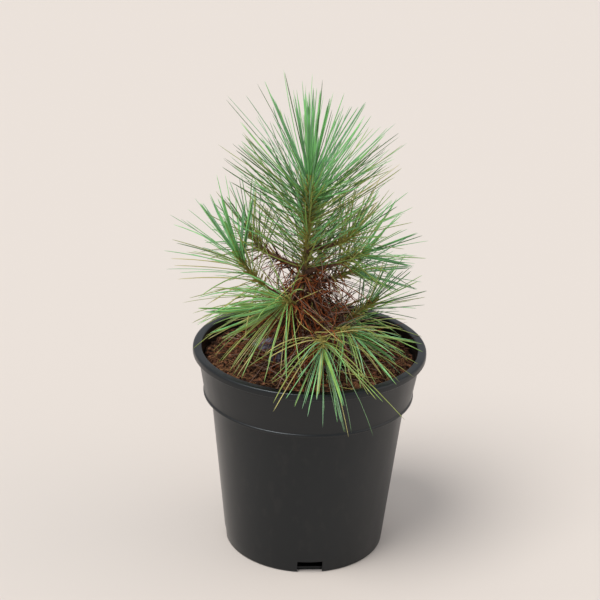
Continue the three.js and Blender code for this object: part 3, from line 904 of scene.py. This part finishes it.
def crumbs(count, seed, smallest, largest):
    """Loose crumbs: icosahedra with their corners pushed in and out by chance, squashed,
    turned, and set into the compost's surface."""
    corners, faces = icosahedron()
    index = np.arange(count)
    size = mix(smallest, largest, chance(seed, index, 3) ** 3.0)
    x, y = scatter(count, SOIL_RADIUS - 1.0, seed)
    push = chance(seed, index[:, None] * 12 + np.arange(12), 4)
    shape = corners[None] * (0.40 + 0.9 * push)[..., None]
    squash = [low + 0.8 * chance(seed, index, k) for low, k in ((0.7, 5), (0.5, 6), (0.25, 7))]
    across, deep, high = np.moveaxis(shape * np.stack(squash, axis=-1)[:, None], -1, 0)
    turn = 2 * math.pi * chance(seed, index, 8)
    c, s = np.cos(turn)[:, None], np.sin(turn)[:, None]
    spun = np.stack([c * across - s * deep, s * across + c * deep, high], axis=-1)
    centre = np.stack([x, y, soil_height(x, y) + size * 0.15], axis=-1)
    vertices = centre[:, None] + spun * size[:, None, None] * 0.5
    triangles = faces[None] + 12 * index[:, None, None]
    return vertices.reshape(-1, 3), triangles.reshape(-1, 3)


def stones():
    """The few stones: balls with their corners pushed by noise and squashed, set half into
    the compost."""
    ball = bmesh.new()
    bmesh.ops.create_icosphere(ball, subdivisions=3, radius=1.0)
    corners = np.array([vertex.co for vertex in ball.verts])
    faces = np.array([[vertex.index for vertex in face.verts] for face in ball.faces])
    ball.free()
    shapes = []
    for x, y, size in STONES:
        swell = 1.0 + 0.22 * fractal(corners * 1.3 + x, 3, 17)
        shape = corners * swell[:, None] * [0.62, 0.48, 0.40] * size
        shapes.append((shape + [x, y, soil_height(x, y) + 0.12 * size], faces))
    return joined(shapes)


def fibres(count, seed, shortest, longest, thickness):
    """Loose fibres that lie on the compost: each a thin tube along a gently bent line that
    follows the surface's height, a little above it."""
    index = np.arange(count)
    size = mix(shortest, longest, chance(seed, index, 3) ** 1.6)
    x, y = scatter(count, SOIL_RADIUS - 3.0, seed)
    azimuth = 2 * math.pi * chance(seed, index, 4)
    bend = 2.4 * (chance(seed, index, 5) - 0.5)
    share = np.linspace(-0.5, 0.5, 7)
    along = size[:, None] * share
    across = (bend * size)[:, None] * (share**2 - 0.08)
    c, s = np.cos(azimuth)[:, None], np.sin(azimuth)[:, None]
    px = x[:, None] + along * c - across * s
    py = y[:, None] + along * s + across * c
    inside = np.hypot(px, py).max(axis=1) < SOIL_RADIUS - 0.6
    px, py, index = px[inside], py[inside], index[inside]
    tilt = (chance(seed, index, 6) - 0.3)[:, None] * share * 2.2
    centres = np.stack([px, py, soil_height(px, py) + 0.25 + np.abs(tilt)], axis=-1)
    axes = cross_axes(unit(np.gradient(centres, axis=1)), UP)
    taper = thickness * (0.6 + 0.8 * chance(seed, index, 7))[:, None]
    radius = taper * np.array([0.35, 0.8, 1.0, 1.0, 0.95, 0.75, 0.3]) * 0.5
    return tubes(centres, axes, radius[..., None], 4)


class PINE_OT_soil(bpy.types.Operator):
    """Fill the pot with compost, crumbs and fibres"""

    bl_idname = "pine.soil"
    bl_label = "Compost"

    def execute(self, context):
        settings = context.scene.pine_pot
        coir = tuple(settings.coir)
        bed = mesh_object("soil_bed", soil_bed(), earth_material("compost", coir, 0.18, 0.9))
        carry(bed, "soil", "soil")
        for seed, tint, dark, light in CRUMBS:
            count = settings.crumbs // len(CRUMBS)
            loose = crumbs(count, seed, smallest=0.3, largest=2.3)
            material = earth_material(f"soil crumbs {tint}", coir, dark, light)
            carry(mesh_object(f"soil_crumbs_{tint}", loose, material), "soil")
        grey = earth_material("stone", (0.165, 0.158, 0.205), 0.5, 1.6)
        carry(mesh_object("soil_stones", stones(), grey), "soil")
        loose = fibres(settings.fibres, 35, shortest=3.0, longest=13.0, thickness=0.28)
        straw = earth_material("coir fibre", (0.30, 0.15, 0.07), 0.5, 1.2)
        carry(mesh_object("soil_fibres", loose, straw), "soil")
        return {"FINISHED"}


# --- Lines of the plant


def trunk_share(height):
    """A height's share of the trunk."""
    return (height - TRUNK.foot) / (TRUNK.tip - TRUNK.foot)


def trunk_point(share):
    """Catmull-Rom spline through the sway's places, spaced evenly in height."""
    heights = np.linspace(TRUNK.foot, TRUNK.tip, len(TRUNK_SWAY))
    knots = np.column_stack([TRUNK_SWAY, heights])
    knots = np.vstack([2 * knots[0] - knots[1], knots, 2 * knots[-1] - knots[-2]])
    spans = len(TRUNK_SWAY) - 1
    place = np.clip(np.asarray(share, float), 0.0, 1.0) * spans
    start = np.minimum(place.astype(int), spans - 1)
    t = (place - start)[..., None]
    a, b, c, d = (knots[start + k] for k in range(4))
    return 0.5 * (
        2 * b + (c - a) * t + (2 * a - 5 * b + 4 * c - d) * t**2 + (3 * b - a - 3 * c + d) * t**3
    )


def trunk_radius(share):
    """Even taper with a flare that dies away above the foot."""
    climb = share * (TRUNK.tip - TRUNK.foot)
    flare = TRUNK.flare * np.exp(-climb / TRUNK.flare_height)
    return mix(TRUNK.foot_radius, TRUNK.tip_radius, share) + flare


def bezier(start, leave, arrive, end):
    """A cubic curve between two points with its two handles."""

    def point(share):
        t = np.asarray(share, float)[..., None]
        u = 1.0 - t
        return u**3 * start + 3 * u**2 * t * leave + 3 * u * t**2 * arrive + t**3 * end

    return point


def tangents(line, share):
    """Directions along a line, from two points a ten-thousandth of it to either side."""
    step = 1e-4
    low, high = np.clip(share - step, 0, 1), np.clip(share + step, 0, 1)
    return unit(line(high) - line(low))


def shoot_side(shoot):
    """The level direction square to a shoot, that its turns are counted from."""
    return heading(shoot.azimuth + 90, 0)


def shoot_line(shoot):
    """A side shoot's curve from the trunk's middle to its bud: the handles are a third of
    the distance, along the direction it leaves and the direction it ends."""
    start = trunk_point(trunk_share(shoot.foot))
    bud = heading(shoot.azimuth, 0) * shoot.reach
    bud[2] = shoot.height
    third = np.linalg.norm(bud - start) / 3
    towards = math.degrees(math.atan2(bud[1] - start[1], bud[0] - start[0]))
    leave = start + heading(towards, shoot.launch) * third
    arrive = bud - heading(shoot.tip_azimuth, shoot.tip_elevation) * third
    return bezier(start, leave, arrive, bud)


# A mass of needles: its line, the direction its turns are counted from, the stretch of the
# line it grows on, its needles, their length and seed, their splay at the foot and the tip,
# how far they are lifted, how far the closed bundles gather at the bud, how far down the
# oldest are rooted, and whether it is a sleeve round the trunk
Mass = namedtuple(
    "Mass", "name node line side low high needles length seed splay lift gather sink sleeve",
    defaults=(TUFT_SPLAY, 0.0, TUFT_GATHER, 0.0, False),
)


def masses():
    """Every mass: the shoots' tufts, the sleeves on the trunk, and the leader's top, which
    stands on a straight line from the trunk's tip to the bud."""
    tufts = [
        Mass(
            shoot.name, f"{shoot.name}_tuft", shoot_line(shoot), shoot_side(shoot),
            shoot.bare + FIRST_NEEDLE, 1.0, shoot.needles, shoot.length, shoot.seed,
        )
        for shoot in SHOOTS
    ]
    sleeves = [
        Mass(
            name, name, trunk_point, EAST, trunk_share(low), trunk_share(high), needles,
            length, seed, splay, lift, gather=0.0, sleeve=True,
        )
        for name, low, high, needles, length, *splay, lift, seed in SLEEVES
    ]
    tip = trunk_point(1.0)
    foot, bud = tip + CLEARANCE * UP, np.array([*tip[:2], LEADER_TOP.height])
    top = Mass(
        "leader_top", "leader_top", lambda share: mix(foot, bud, np.asarray(share)[..., None]),
        EAST, LEADER_TOP.first, 1.0, LEADER_TOP.needles, LEADER_TOP.length, LEADER_TOP.seed,
        LEADER_TOP.splay, gather=LEADER_TOP.gather, sink=LEADER_TOP.sink,
    )
    return [*tufts, *sleeves, top]


# --- Wood

# Heights between which the trunk's old bark gives way to young bark
YOUNG_BARK = (118.0, 146.0)
# Stems of this radius and more have the bark's whole relief
FULL_RELIEF = 1.6


def bark_relief(around, along, seed):
    """Bark's height from -1 to 1 by the turn round the stem and the distance along it: long
    ridges of noise, and a lattice of needle scars on two crossing spirals."""
    place = np.stack([2.2 * np.cos(around), 2.2 * np.sin(around), 0.45 * along], axis=-1)
    ridges = fractal(place * 1.6, 4, seed)
    scars = np.cos(5 * around + 1.9 * along) * np.cos(3 * around - 2.6 * along)
    return 0.75 * ridges + 0.45 * np.clip(scars, 0.0, 1.0)


def barked(line, side, shares, radii, sides, relief, seed):
    """One closed stem along a line, its radius plus the bark's relief at every corner."""
    centres = line(shares)
    axes = cross_axes(tangents(line, shares), side)
    steps = np.linalg.norm(np.diff(centres, axis=0), axis=1)
    along = np.concatenate([[0.0], np.cumsum(steps)])[:, None]
    around = (2 * math.pi * np.arange(sides) / sides)[None]
    bark = bark_relief(*np.broadcast_arrays(around, along), seed)
    bump = bark * relief * np.minimum(radii, FULL_RELIEF)[:, None] / FULL_RELIEF
    widths = radii[:, None] + bump
    return tubes(centres[None], [axis[None] for axis in axes], widths[None], sides)


def trunk_mesh(relief):
    """The trunk: its line from foot to tip, with root flare, bark and a rounded end."""
    shares = np.linspace(0.0, 1.0, 260)
    radii = trunk_radius(shares)
    radii[-6:] *= np.linspace(1.0, 0.3, 6)
    return barked(trunk_point, EAST, shares, radii, 28, relief, 3)


def bough_mesh(shoot, relief):
    """A bough: from inside the trunk to the foot of its stem, swollen where it leaves."""
    shares = np.linspace(0.0, shoot.bare + 0.02, 60)
    radii = mix(BOUGH.foot_radius, BOUGH.tip_radius, shares / shares[-1])
    radii = radii + 0.5 * np.exp(-((shares / 0.10) ** 2))
    return barked(shoot_line(shoot), shoot_side(shoot), shares, radii, 18, relief, shoot.seed)


def stem_radius(share):
    """A young stem and its bud by the share of the whole: even, a waist, then the bud, which
    swells and closes to a point."""
    bud_foot = 0.8
    stem = mix(BOUGH.tip_radius, STEM.slim * STEM.radius, np.clip(share / bud_foot, 0, 1))
    swell = np.clip((share - bud_foot) / 0.2, 0.0, 1.0)
    bud = STEM.slim * STEM.bud_radius * np.sqrt(np.clip(1.0 - swell**2, 0.002, 1.0))
    return np.where(share < bud_foot, stem, mix(stem, bud, smooth(swell / 0.35)))


def stem_mesh(mass, relief):
    """A shoot's young stem: its line from the bough's tip to its end, carried on straight by
    the bud's length."""
    line = mass.line
    start = mass.low - FIRST_NEEDLE
    ahead = tangents(line, np.array(1.0))
    length = np.linalg.norm(np.diff(line(np.linspace(start, 1, 30)), axis=0), axis=1).sum()

    def carried(share):
        travel = np.asarray(share, float) * (length + STEM.bud_length)
        on_line = mix(start, 1.0, np.clip(travel / length, 0.0, 1.0))
        return line(on_line) + np.clip(travel - length, 0.0, None)[..., None] * ahead

    shares = np.linspace(0.0, 1.0, 70)
    return barked(carried, mass.side, shares, stem_radius(shares), 14, relief, mass.seed)


class PINE_OT_wood(bpy.types.Operator):
    """Grow the trunk, the boughs and the young stems"""

    bl_idname = "pine.wood"
    bl_label = "Trunk and boughs"

    def execute(self, context):
        settings = context.scene.pine_wood
        relief = settings.relief / MM
        old, young = tuple(settings.bark), tuple(settings.young)
        rising = bark_material("trunk bark", 900.0, (old, 0.45, 1.5), (young, 0.5, 1.3))
        carry(mesh_object("trunk_bark", trunk_mesh(relief), rising), "bark", "trunk")
        boughs = joined([bough_mesh(shoot, relief) for shoot in SHOOTS])
        nodes = [f"{shoot.name}_bough" for shoot in SHOOTS]
        bark = bark_material("bark", 900.0, (old, 0.45, 1.5))
        carry(mesh_object("boughs_bark", boughs, bark), "bark", *nodes)
        stems = joined([stem_mesh(mass, 0.6 * relief) for mass in masses() if not mass.sleeve])
        soft = bark_material("young bark", 700.0, (young, 0.55, 1.35))
        carry(mesh_object("young_stems", stems, soft), "bark")
        return {"FINISHED"}


# --- Needles

# Where a needle's and a sheath's rings stand along it, and how wide they are
NEEDLE_SHARES = np.array([0.0, 0.12, 0.3, 0.5, 0.7, 0.86, 0.96, 1.0])
NEEDLE_WIDTHS = np.array([0.62, 0.88, 1.0, 1.0, 0.95, 0.82, 0.52, 0.12])
NEEDLE_FLATNESS = 0.62
SHEATH_SHARES = np.array([-0.4, 0.2, 0.6, 1.0])
SHEATH_WIDTHS = np.array([0.26, 0.36, 0.36, 0.30])


def bundles(mass):
    """Every bundle of a mass by the solids' rule. Bundle number i stands on the line at a
    share that rises evenly, turned on by the golden angle, and leaves the line by a splay
    that closes towards the tip. Chance turns, tilts and trims each a little. Numbers between
    whole ones are the finer bundles. Chance also closes some of the young ones, which then
    stand nearer to the bud, unless the mass names its closed ones. Most bundles that point
    back at the trunk have died away, and so have those the mass has shed."""
    habit = HABITS[mass.name]
    seed = mass.seed
    order = np.arange(int((mass.needles - 1) * habit.fineness) + 1)
    number = order / habit.fineness
    share = number / (mass.needles - 1)
    at = mix(mass.low, mass.high, share)
    centre, tangent = mass.line(at), tangents(mass.line, at)
    turn = number * GOLDEN_ANGLE + TURN_JITTER * (chance(seed, number, 1) - 0.5)
    outward = facing(cross_axes(tangent, mass.side), np.radians(turn))
    tilt = TILT_JITTER * (chance(seed, number, 2) - 0.5)
    splay = np.radians(mix(*mass.splay, share**1.3) + tilt)
    direction = unit(facing((tangent, outward), splay) + UP * mass.lift)
    length = mass.length * (0.84 + 0.22 * chance(seed, number, 3))
    wood = trunk_radius(at) if mass.sleeve else np.full_like(at, 0.6 * STEM.radius)
    off = wood + CLEARANCE + SLEEVE_WALL / 2 if mass.sleeve else np.zeros_like(at)
    tip = centre + outward * off[:, None] + direction * length[:, None]
    away = centre + outward - trunk_point(trunk_share(centre[:, 2]))
    inward = np.clip(-(direction[:, :2] * unit(away[:, :2])).sum(axis=1), 0.0, 1.0)
    likely = habit.closed * smooth(2.0 * share - 1.0)
    shut = (chance(seed + SPRAY_SEED, number, 1) < likely) & (inward < 0.2)
    if mass.name in CLOSED:
        shut = np.isin(order, CLOSED[mass.name])
    root = mass.line(mix(at, mass.high, mass.gather * shut)) + outward * (0.8 * wood)[:, None]
    root = root - UP * (mass.sink * (1.0 - share) ** 2)[:, None]
    alive = (inward < SHADED) | (chance(seed + SPRAY_SEED, number, 21) < SHADED_KEPT)
    sprays = Rows(
        number=number, share=share, root=root, tip=tip, outward=outward, inward=inward,
        shut=shut,
    )
    return sprays.pick(alive & ~np.isin(order, SHED.get(mass.name, ())))


def fanned(mass, fan, pinch):
    """The needles of a mass's bundles: they share a root, lean out in turns round the
    bundle's own line by the fan's angle, or together by the pinch where the bundle is closed,
    and bow by a part of their length. The bow is a droop, deepest for level needles at the
    mass's foot, with a little bend and sway."""
    habit = HABITS[mass.name]
    seed = mass.seed + SPRAY_SEED
    sprays = bundles(mass)
    some = np.floor(habit.mean + chance(seed, sprays.number, 9)).astype(int)
    full = SHUT.needles_named if mass.name in CLOSED else SHUT.needles_by_chance
    counts = np.where(sprays.shut, full, some)
    bundle = np.repeat(np.arange(len(counts)), counts)
    place = np.arange(len(bundle)) - np.repeat(np.cumsum(counts) - counts, counts)
    spray = sprays.pick(bundle)
    shut, number, share = spray.shut, spray.number, spray.share
    index = number * MOST_NEEDLES + place
    middle = unit(spray.tip - spray.root)
    first, second = cross_axes(middle, spray.outward + 0.01)
    turn = 2 * math.pi * (place / counts[bundle] + chance(seed, number, 3))
    sideways = facing((first, second), turn)
    lean = np.where(shut, pinch, fan) * (0.4 + 1.2 * chance(seed, index, 2))
    direction = unit(middle + sideways * np.tan(lean)[:, None])
    trim = np.where(shut, SHUT.trim, OPEN.trim) * chance(seed, index, 4)
    length = np.linalg.norm(spray.tip - spray.root, axis=1) * (1.02 - trim)
    length = length * mix(1.0, np.where(shut, habit.closed_length, habit.young), smooth(share))
    length = length * (1.0 - 0.3 * spray.inward)
    length = length * np.where(shut | (chance(seed, index, 10) > STRAY), 1.0, STRAY_LENGTH)
    stand = np.where(shut, mix(*SHUT.stand, chance(seed, index, 12)), OPEN.stand)
    droop = mix(habit.foot_droop, habit.tip_droop, share) * (0.5 + chance(seed, number, 5))
    droop = np.where(shut, habit.closed_droop, droop)
    droop = droop * np.linalg.norm(direction[:, :2], axis=1)
    limp = 1.0 + LIMPNESS * habit.foot_droop
    bend = np.where(shut, SHUT.bend, OPEN.bend * limp) * (chance(seed, index, 6) - 0.4)
    sway = np.where(shut, SHUT.sway, OPEN.sway * limp) * (chance(seed, number, 7) - 0.5)
    bow = sideways * bend[:, None] + first * sway[:, None] - UP * droop[:, None]
    return Rows(
        root=spray.root + sideways * stand[:, None], direction=direction, length=length,
        bow=bow, curl=np.zeros_like(bow), index=index, number=number, share=share,
        inward=spray.inward, shut=shut, pale=np.zeros_like(shut),
    )


def needle_points(needles, shares):
    """Points along each needle: the root, plus the length times the share along the
    direction, times its square along the bow and times its cube along the curl."""
    s = shares[None, :, None]
    path = (
        s * needles.direction[:, None]
        + s**2 * needles.bow[:, None]
        + s**3 * needles.curl[:, None]
    )
    return needles.root[:, None] + needles.length[:, None, None] * path


def clear_of_pot(points, margin):
    """Whether each point keeps a margin from the pot's wall and from the compost."""
    x, y, z = np.moveaxis(points, -1, 0)
    radius = np.hypot(x, y)
    beside_lip = (radius > LIP_RADIUS + margin) | (z < COLLAR_TOP - margin)
    outside = (radius > pot_outside(z) + margin) & beside_lip
    inside = (radius < pot_inside(z) - margin) & (z > soil_height(x, y) + margin)
    return (z > POT_TOP + margin) | outside | inside


def lifted_clear(needles, margin):
    """Needles that would pierce the pot or the compost are raised a step at a time, and those
    that still would after the last step are left out."""
    probes = np.linspace(0.08, 1.0, 14)
    steps, rise = 5, 0.09
    good = clear_of_pot(needle_points(needles, probes), margin).all(axis=1)
    for _ in range(steps):
        raised = unit(needles.direction + UP * rise)
        needles.direction = np.where(good[:, None], needles.direction, raised)
        good = clear_of_pot(needle_points(needles, probes), margin).all(axis=1)
    return needles.pick(good)


def opened(needles):
    """Needles that leave the openings clear. An opening is a tube along the line of sight, and
    a needle crosses it where its distance from the tube's middle line is under the radius.
    The radius also sets each opening's chances apart."""
    points = needle_points(needles, np.linspace(0.0, 1.0, 16))
    kept = np.ones(len(needles.length), bool)
    for middle, radius, share in OPENINGS:
        offset = points - np.array(middle)
        offset = offset - (offset @ SIGHT)[..., None] * SIGHT
        crosses = (np.linalg.norm(offset, axis=-1) < radius).any(axis=1)
        stays = chance(OPENING_SEED, needles.index + 1000 * radius, 9) < share
        kept &= ~crosses | stays
    return needles.pick(kept)


def needle_mesh(needles, width):
    """Needles as flattened four-sided tubes: wide across, thinner through, narrow at the root
    and closing to a point."""
    centres = needle_points(needles, NEEDLE_SHARES)
    roll = 2 * math.pi * chance(ROLL_SEED, needles.index, 7)
    side = unit(np.stack([np.cos(roll), np.sin(roll), np.full_like(roll, 0.3)], axis=-1))
    axes = cross_axes(unit(np.gradient(centres, axis=1)), side[:, None])
    size = width * (0.82 + 0.36 * chance(WIDTH_SEED, needles.index, 8))
    size = size * np.where(needles.shut, SHUT.width, 1.0)
    widths = 0.5 * size[:, None] * NEEDLE_WIDTHS
    return tubes(centres, axes, widths[..., None], 4, NEEDLE_FLATNESS)


def deal(mass, needles):
    """A tint number for each needle. Its mass's shares run from the oldest spray's to the
    youngest's, and a chance picks one: the bundle's for some needles and the needle's own for
    the rest. Needles on the underside, or that point at the trunk, count as older, and closed
    ones as younger."""
    oldest, youngest = np.array(DEALS[mass.name], float)
    below = np.clip(-needles.direction[:, 2] - 0.1, 0.0, 1.0)
    under = below * HABITS[mass.name].under
    age = needles.share * 1.25 - under - 0.7 * needles.inward
    chances = mix(oldest, youngest, smooth(age + np.where(needles.shut, 0.3, -0.08))[:, None])
    steps = np.cumsum(chances / chances.sum(axis=1, keepdims=True), axis=1)
    seed = mass.seed
    own = chance(seed, needles.index, 11) < OWN_TINT
    pick = np.where(own, chance(seed, needles.index, 12), chance(seed, needles.number, 5))
    return np.minimum((pick[:, None] > steps).sum(axis=1), len(TINTS) - 1)


def sort_out(dealt, needles, tint, width):
    """Meshes needles into {tint: list of meshes} by their tint numbers."""
    for k, name in enumerate(dealt):
        if (tint == k).any():
            dealt[name].append(needle_mesh(needles.pick(tint == k), width / MM))


def living_masses():
    """Every mass but the dead one."""
    return [mass for mass in masses() if mass.name != DEAD_MASS]


def living_needles(settings):
    """Every living mass's needles, dealt out by tint: {tint: list of meshes}."""
    dealt = {tint: [] for tint in TINTS}
    for mass in living_masses():
        needles = fanned(mass, settings.fan, settings.pinch)
        needles = opened(lifted_clear(needles, LIVING_GAP))
        sort_out(dealt, needles, deal(mass, needles), settings.width)
    return dealt


def withered(name, line, side, radius):
    """Dead needles on a stretch of wood: spread along it by chance, leaving it outwards and
    down, with a strong bow towards the ground and a curl to any side."""
    row = WITHERED[name]
    seed = WITHERED_SEED + 7 * list(WITHERED).index(name)
    index = np.arange(row.count)
    at = mix(row.start, row.end, chance(seed, index, 1))
    tangent = tangents(line, at)
    outward = facing(cross_axes(tangent, side), 2 * math.pi * chance(seed, index, 2))
    rise = 1.5 * (chance(seed, index, 3) - 0.55)
    curl = np.stack([chance(seed, index, k) - 0.5 for k in (4, 5, 6)], axis=-1)
    sag = 0.1 + 0.8 * chance(seed, index, 7)
    return Rows(
        root=line(at) + outward * (0.7 * radius(at))[:, None],
        direction=unit(outward + UP * rise[:, None] + row.along * tangent),
        length=mix(row.shortest, row.longest, chance(seed, index, 8)),
        bow=curl * 0.5 - UP * sag[:, None], curl=curl * 1.3, index=index,
        shut=np.zeros(row.count, bool), pale=chance(seed, index, 9) < row.pale,
    )


def litter(count, reach, seed):
    """Fallen needles: they lie across the compost round the trunk, each with its own curl,
    rooted a little above the surface."""
    index = np.arange(count)
    x, y = scatter(count, reach, seed)
    curl = np.stack([chance(seed, index, k) - 0.5 for k in (4, 5, 6)], axis=-1)
    height = soil_height(x, y) + 0.9 + 1.8 * chance(seed, index, 7)
    elevation = 8 * (chance(seed, index, 8) - 0.3)
    return Rows(
        root=np.stack([x, y, height], axis=-1),
        direction=heading(360 * chance(seed, index, 3), elevation),
        length=10 + 14 * chance(seed, index, 9), bow=curl * [0.7, 0.7, 0.1],
        curl=curl * [0.5, 0.5, 0.05], index=index, shut=np.zeros(count, bool),
        pale=chance(seed, index, 11) < 0.2,
    )


def dead_needles(settings):
    """Withered and fallen needles by tint: {tint: list of meshes}. Those on the trunk leave
    the openings clear."""
    lower = next(mass for mass in masses() if mass.name == DEAD_MASS)
    on_trunk = [
        withered("trunk", trunk_point, EAST, trunk_radius),
        fanned(lower, 3 * settings.fan, settings.pinch),
    ]
    on_boughs = [
        withered(
            shoot.name, shoot_line(shoot), shoot_side(shoot),
            lambda at: np.full_like(at, BOUGH.tip_radius),
        )
        for shoot in SHOOTS
    ]
    dealt = {tint: [] for tint in WITHERED_TINTS}
    pale = list(WITHERED_TINTS).index("tan")
    for number, needles in enumerate(on_trunk + on_boughs + [litter(*row) for row in LITTER]):
        needles = lifted_clear(needles, WITHERED_GAP)
        if number < len(on_trunk):
            needles = opened(needles)
        pick = chance(WITHERED_TINT_SEED + number, needles.index, 1)[:, None]
        tint = np.where(needles.pale, pale, (pick > WITHERED_DEAL).sum(axis=1))
        sort_out(dealt, needles, tint, settings.dead_width)
    return dealt


def sheaths():
    """The papery sheath at each bundle's root: a short tube along the bundle's line."""
    shapes = []
    for mass in masses():
        sprays = bundles(mass)
        direction = unit(sprays.tip - sprays.root)[:, None]
        axes = cross_axes(direction, sprays.outward[:, None] + 0.01)
        size = 2.4 + 1.2 * chance(mass.seed, sprays.number, 13)
        travel = (size[:, None] * SHEATH_SHARES)[..., None]
        centres = sprays.root[:, None] + direction * travel
        shapes.append(tubes(centres, axes, SHEATH_WIDTHS[:, None], 6))
    return joined(shapes)


class PINE_OT_needles(bpy.types.Operator):
    """Grow the needles of every mass, one piece for each tint"""

    bl_idname = "pine.needles"
    bl_label = "Needles"

    def execute(self, context):
        nodes = [mass.node for mass in living_masses()]
        for tint, shapes in living_needles(context.scene.pine_needles).items():
            material = needle_material(f"{tint} needles", TINTS[tint], 0.34, 0.85)
            piece = mesh_object(f"needles_{tint}", joined(shapes), material)
            carry(piece, "green_needles", *(nodes if tint == "fresh" else []))
        return {"FINISHED"}


class PINE_OT_dead_needles(bpy.types.Operator):
    """Hang dead needles on the wood, let some fall, and sheathe the bundles"""

    bl_idname = "pine.dead_needles"
    bl_label = "Dead needles"

    def execute(self, context):
        for tint, shapes in dead_needles(context.scene.pine_needles).items():
            material = needle_material(f"withered {tint}", WITHERED_TINTS[tint], 0.75, 0.2)
            piece = mesh_object(f"withered_{tint}", joined(shapes), material)
            carry(piece, "dead_needles", *([DEAD_MASS] if tint == "rust" else []))
        papery = needle_material("sheath", (0.34, 0.28, 0.08), 0.7, 0.2)
        carry(mesh_object("sheaths", sheaths(), papery), "dead_needles")
        return {"FINISHED"}


# --- Stage

FLOOR_RADIUS = 6000.0
FLOOR_DEPTH = 8.0
SKY_COLOUR = (0.93, 0.96, 1.0)
# Where each soft light comes from, and how wide a part of the sky it fills
WINDOW = {"azimuth": 218, "elevation": 60, "spread": 36, "colour": (1.0, 0.975, 0.94)}
FILL = {"azimuth": 2, "elevation": 24, "spread": 60, "colour": (1.0, 0.86, 0.74)}


def add_light(name, strength, azimuth, elevation, spread, colour):
    """Light that comes evenly from one part of the sky, softened by the part's width."""
    lamp = bpy.data.lights.new(name, "SUN")
    lamp.angle = math.radians(spread)
    lamp.energy = strength
    lamp.color = colour
    light = bpy.data.objects.new(name, lamp)
    aim = -Vector(heading(azimuth, elevation))
    light.rotation_euler = aim.to_track_quat("-Z", "Y").to_euler()
    bpy.context.scene.collection.objects.link(light)


def add_camera(settings):
    """The camera: back from its target by the distance, raised, and rolled about its axis."""
    camera = bpy.data.objects.new("camera", bpy.data.cameras.new("camera"))
    camera.data.lens = settings.lens
    camera.data.sensor_width = 36.0
    camera.data.clip_start = 0.01
    back = Vector((0.0, -math.cos(settings.elevation), math.sin(settings.elevation)))
    camera.location = Vector(settings.target) + back * settings.distance
    tilt = Matrix.Rotation(math.pi / 2 - settings.elevation, 4, "X")
    roll = Matrix.Rotation(settings.roll, 4, "Z")
    camera.rotation_euler = (tilt @ roll).to_euler()
    bpy.context.scene.collection.objects.link(camera)
    bpy.context.scene.camera = camera


class PINE_OT_stage(bpy.types.Operator):
    """Set the floor, the light and the camera"""

    bl_idname = "pine.stage"
    bl_label = "Stage"

    def execute(self, context):
        settings = context.scene.pine_stage
        material, _, shader = new_material("floor", 0.9, 0.2)
        shader["Base Color"].default_value = tone(settings.floor)
        low, high = -FLOOR_DEPTH, 0.0
        disc = [[0.0, low], [FLOOR_RADIUS, low], [FLOOR_RADIUS, high], [0.0, high]]
        floor = mesh_object("floor", turned(np.array(disc), 96), material)
        floor.data.shade_flat()
        world = bpy.data.worlds.new("soft sky")
        world.use_nodes = True
        sky = world.node_tree.nodes["Background"].inputs
        sky["Color"].default_value = tone(SKY_COLOUR)
        sky["Strength"].default_value = settings.sky
        context.scene.world = world
        add_light("window", settings.window, **WINDOW)
        add_light("fill", settings.fill, **FILL)
        context.scene.view_settings.view_transform = "Standard"
        add_camera(settings)
        return {"FINISHED"}


# --- Panel and registration

SETTINGS = {
    "pine_pot": PinePotSettings,
    "pine_wood": PineWoodSettings,
    "pine_needles": PineNeedleSettings,
    "pine_stage": PineStageSettings,
}
BUILDERS = (
    PINE_OT_pot, PINE_OT_soil, PINE_OT_wood, PINE_OT_needles, PINE_OT_dead_needles, PINE_OT_stage,
)


class PINE_PT_builder(bpy.types.Panel):
    """Lists the builders and their settings"""

    bl_label = "Potted pine"
    bl_idname = "PINE_PT_builder"
    bl_space_type = "VIEW_3D"
    bl_region_type = "UI"
    bl_category = "Pine"

    def draw(self, context):
        for builder in BUILDERS:
            self.layout.operator(builder.bl_idname)
        for name in SETTINGS:
            settings = getattr(context.scene, name)
            box = self.layout.box()
            for setting in settings.__annotations__:
                box.prop(settings, setting)


CLASSES = (*SETTINGS.values(), *BUILDERS, PINE_PT_builder)


def register():
    for cls in CLASSES:
        bpy.utils.register_class(cls)
    for name, cls in SETTINGS.items():
        setattr(bpy.types.Scene, name, PointerProperty(type=cls))


def unregister():
    for name in SETTINGS:
        delattr(bpy.types.Scene, name)
    for cls in reversed(CLASSES):
        bpy.utils.unregister_class(cls)


def main():
    register()
    bpy.ops.pine.pot()
    bpy.ops.pine.soil()
    bpy.ops.pine.wood()
    bpy.ops.pine.needles()
    bpy.ops.pine.dead_needles()
    bpy.ops.pine.stage()


if __name__ == "__main__":
    main()
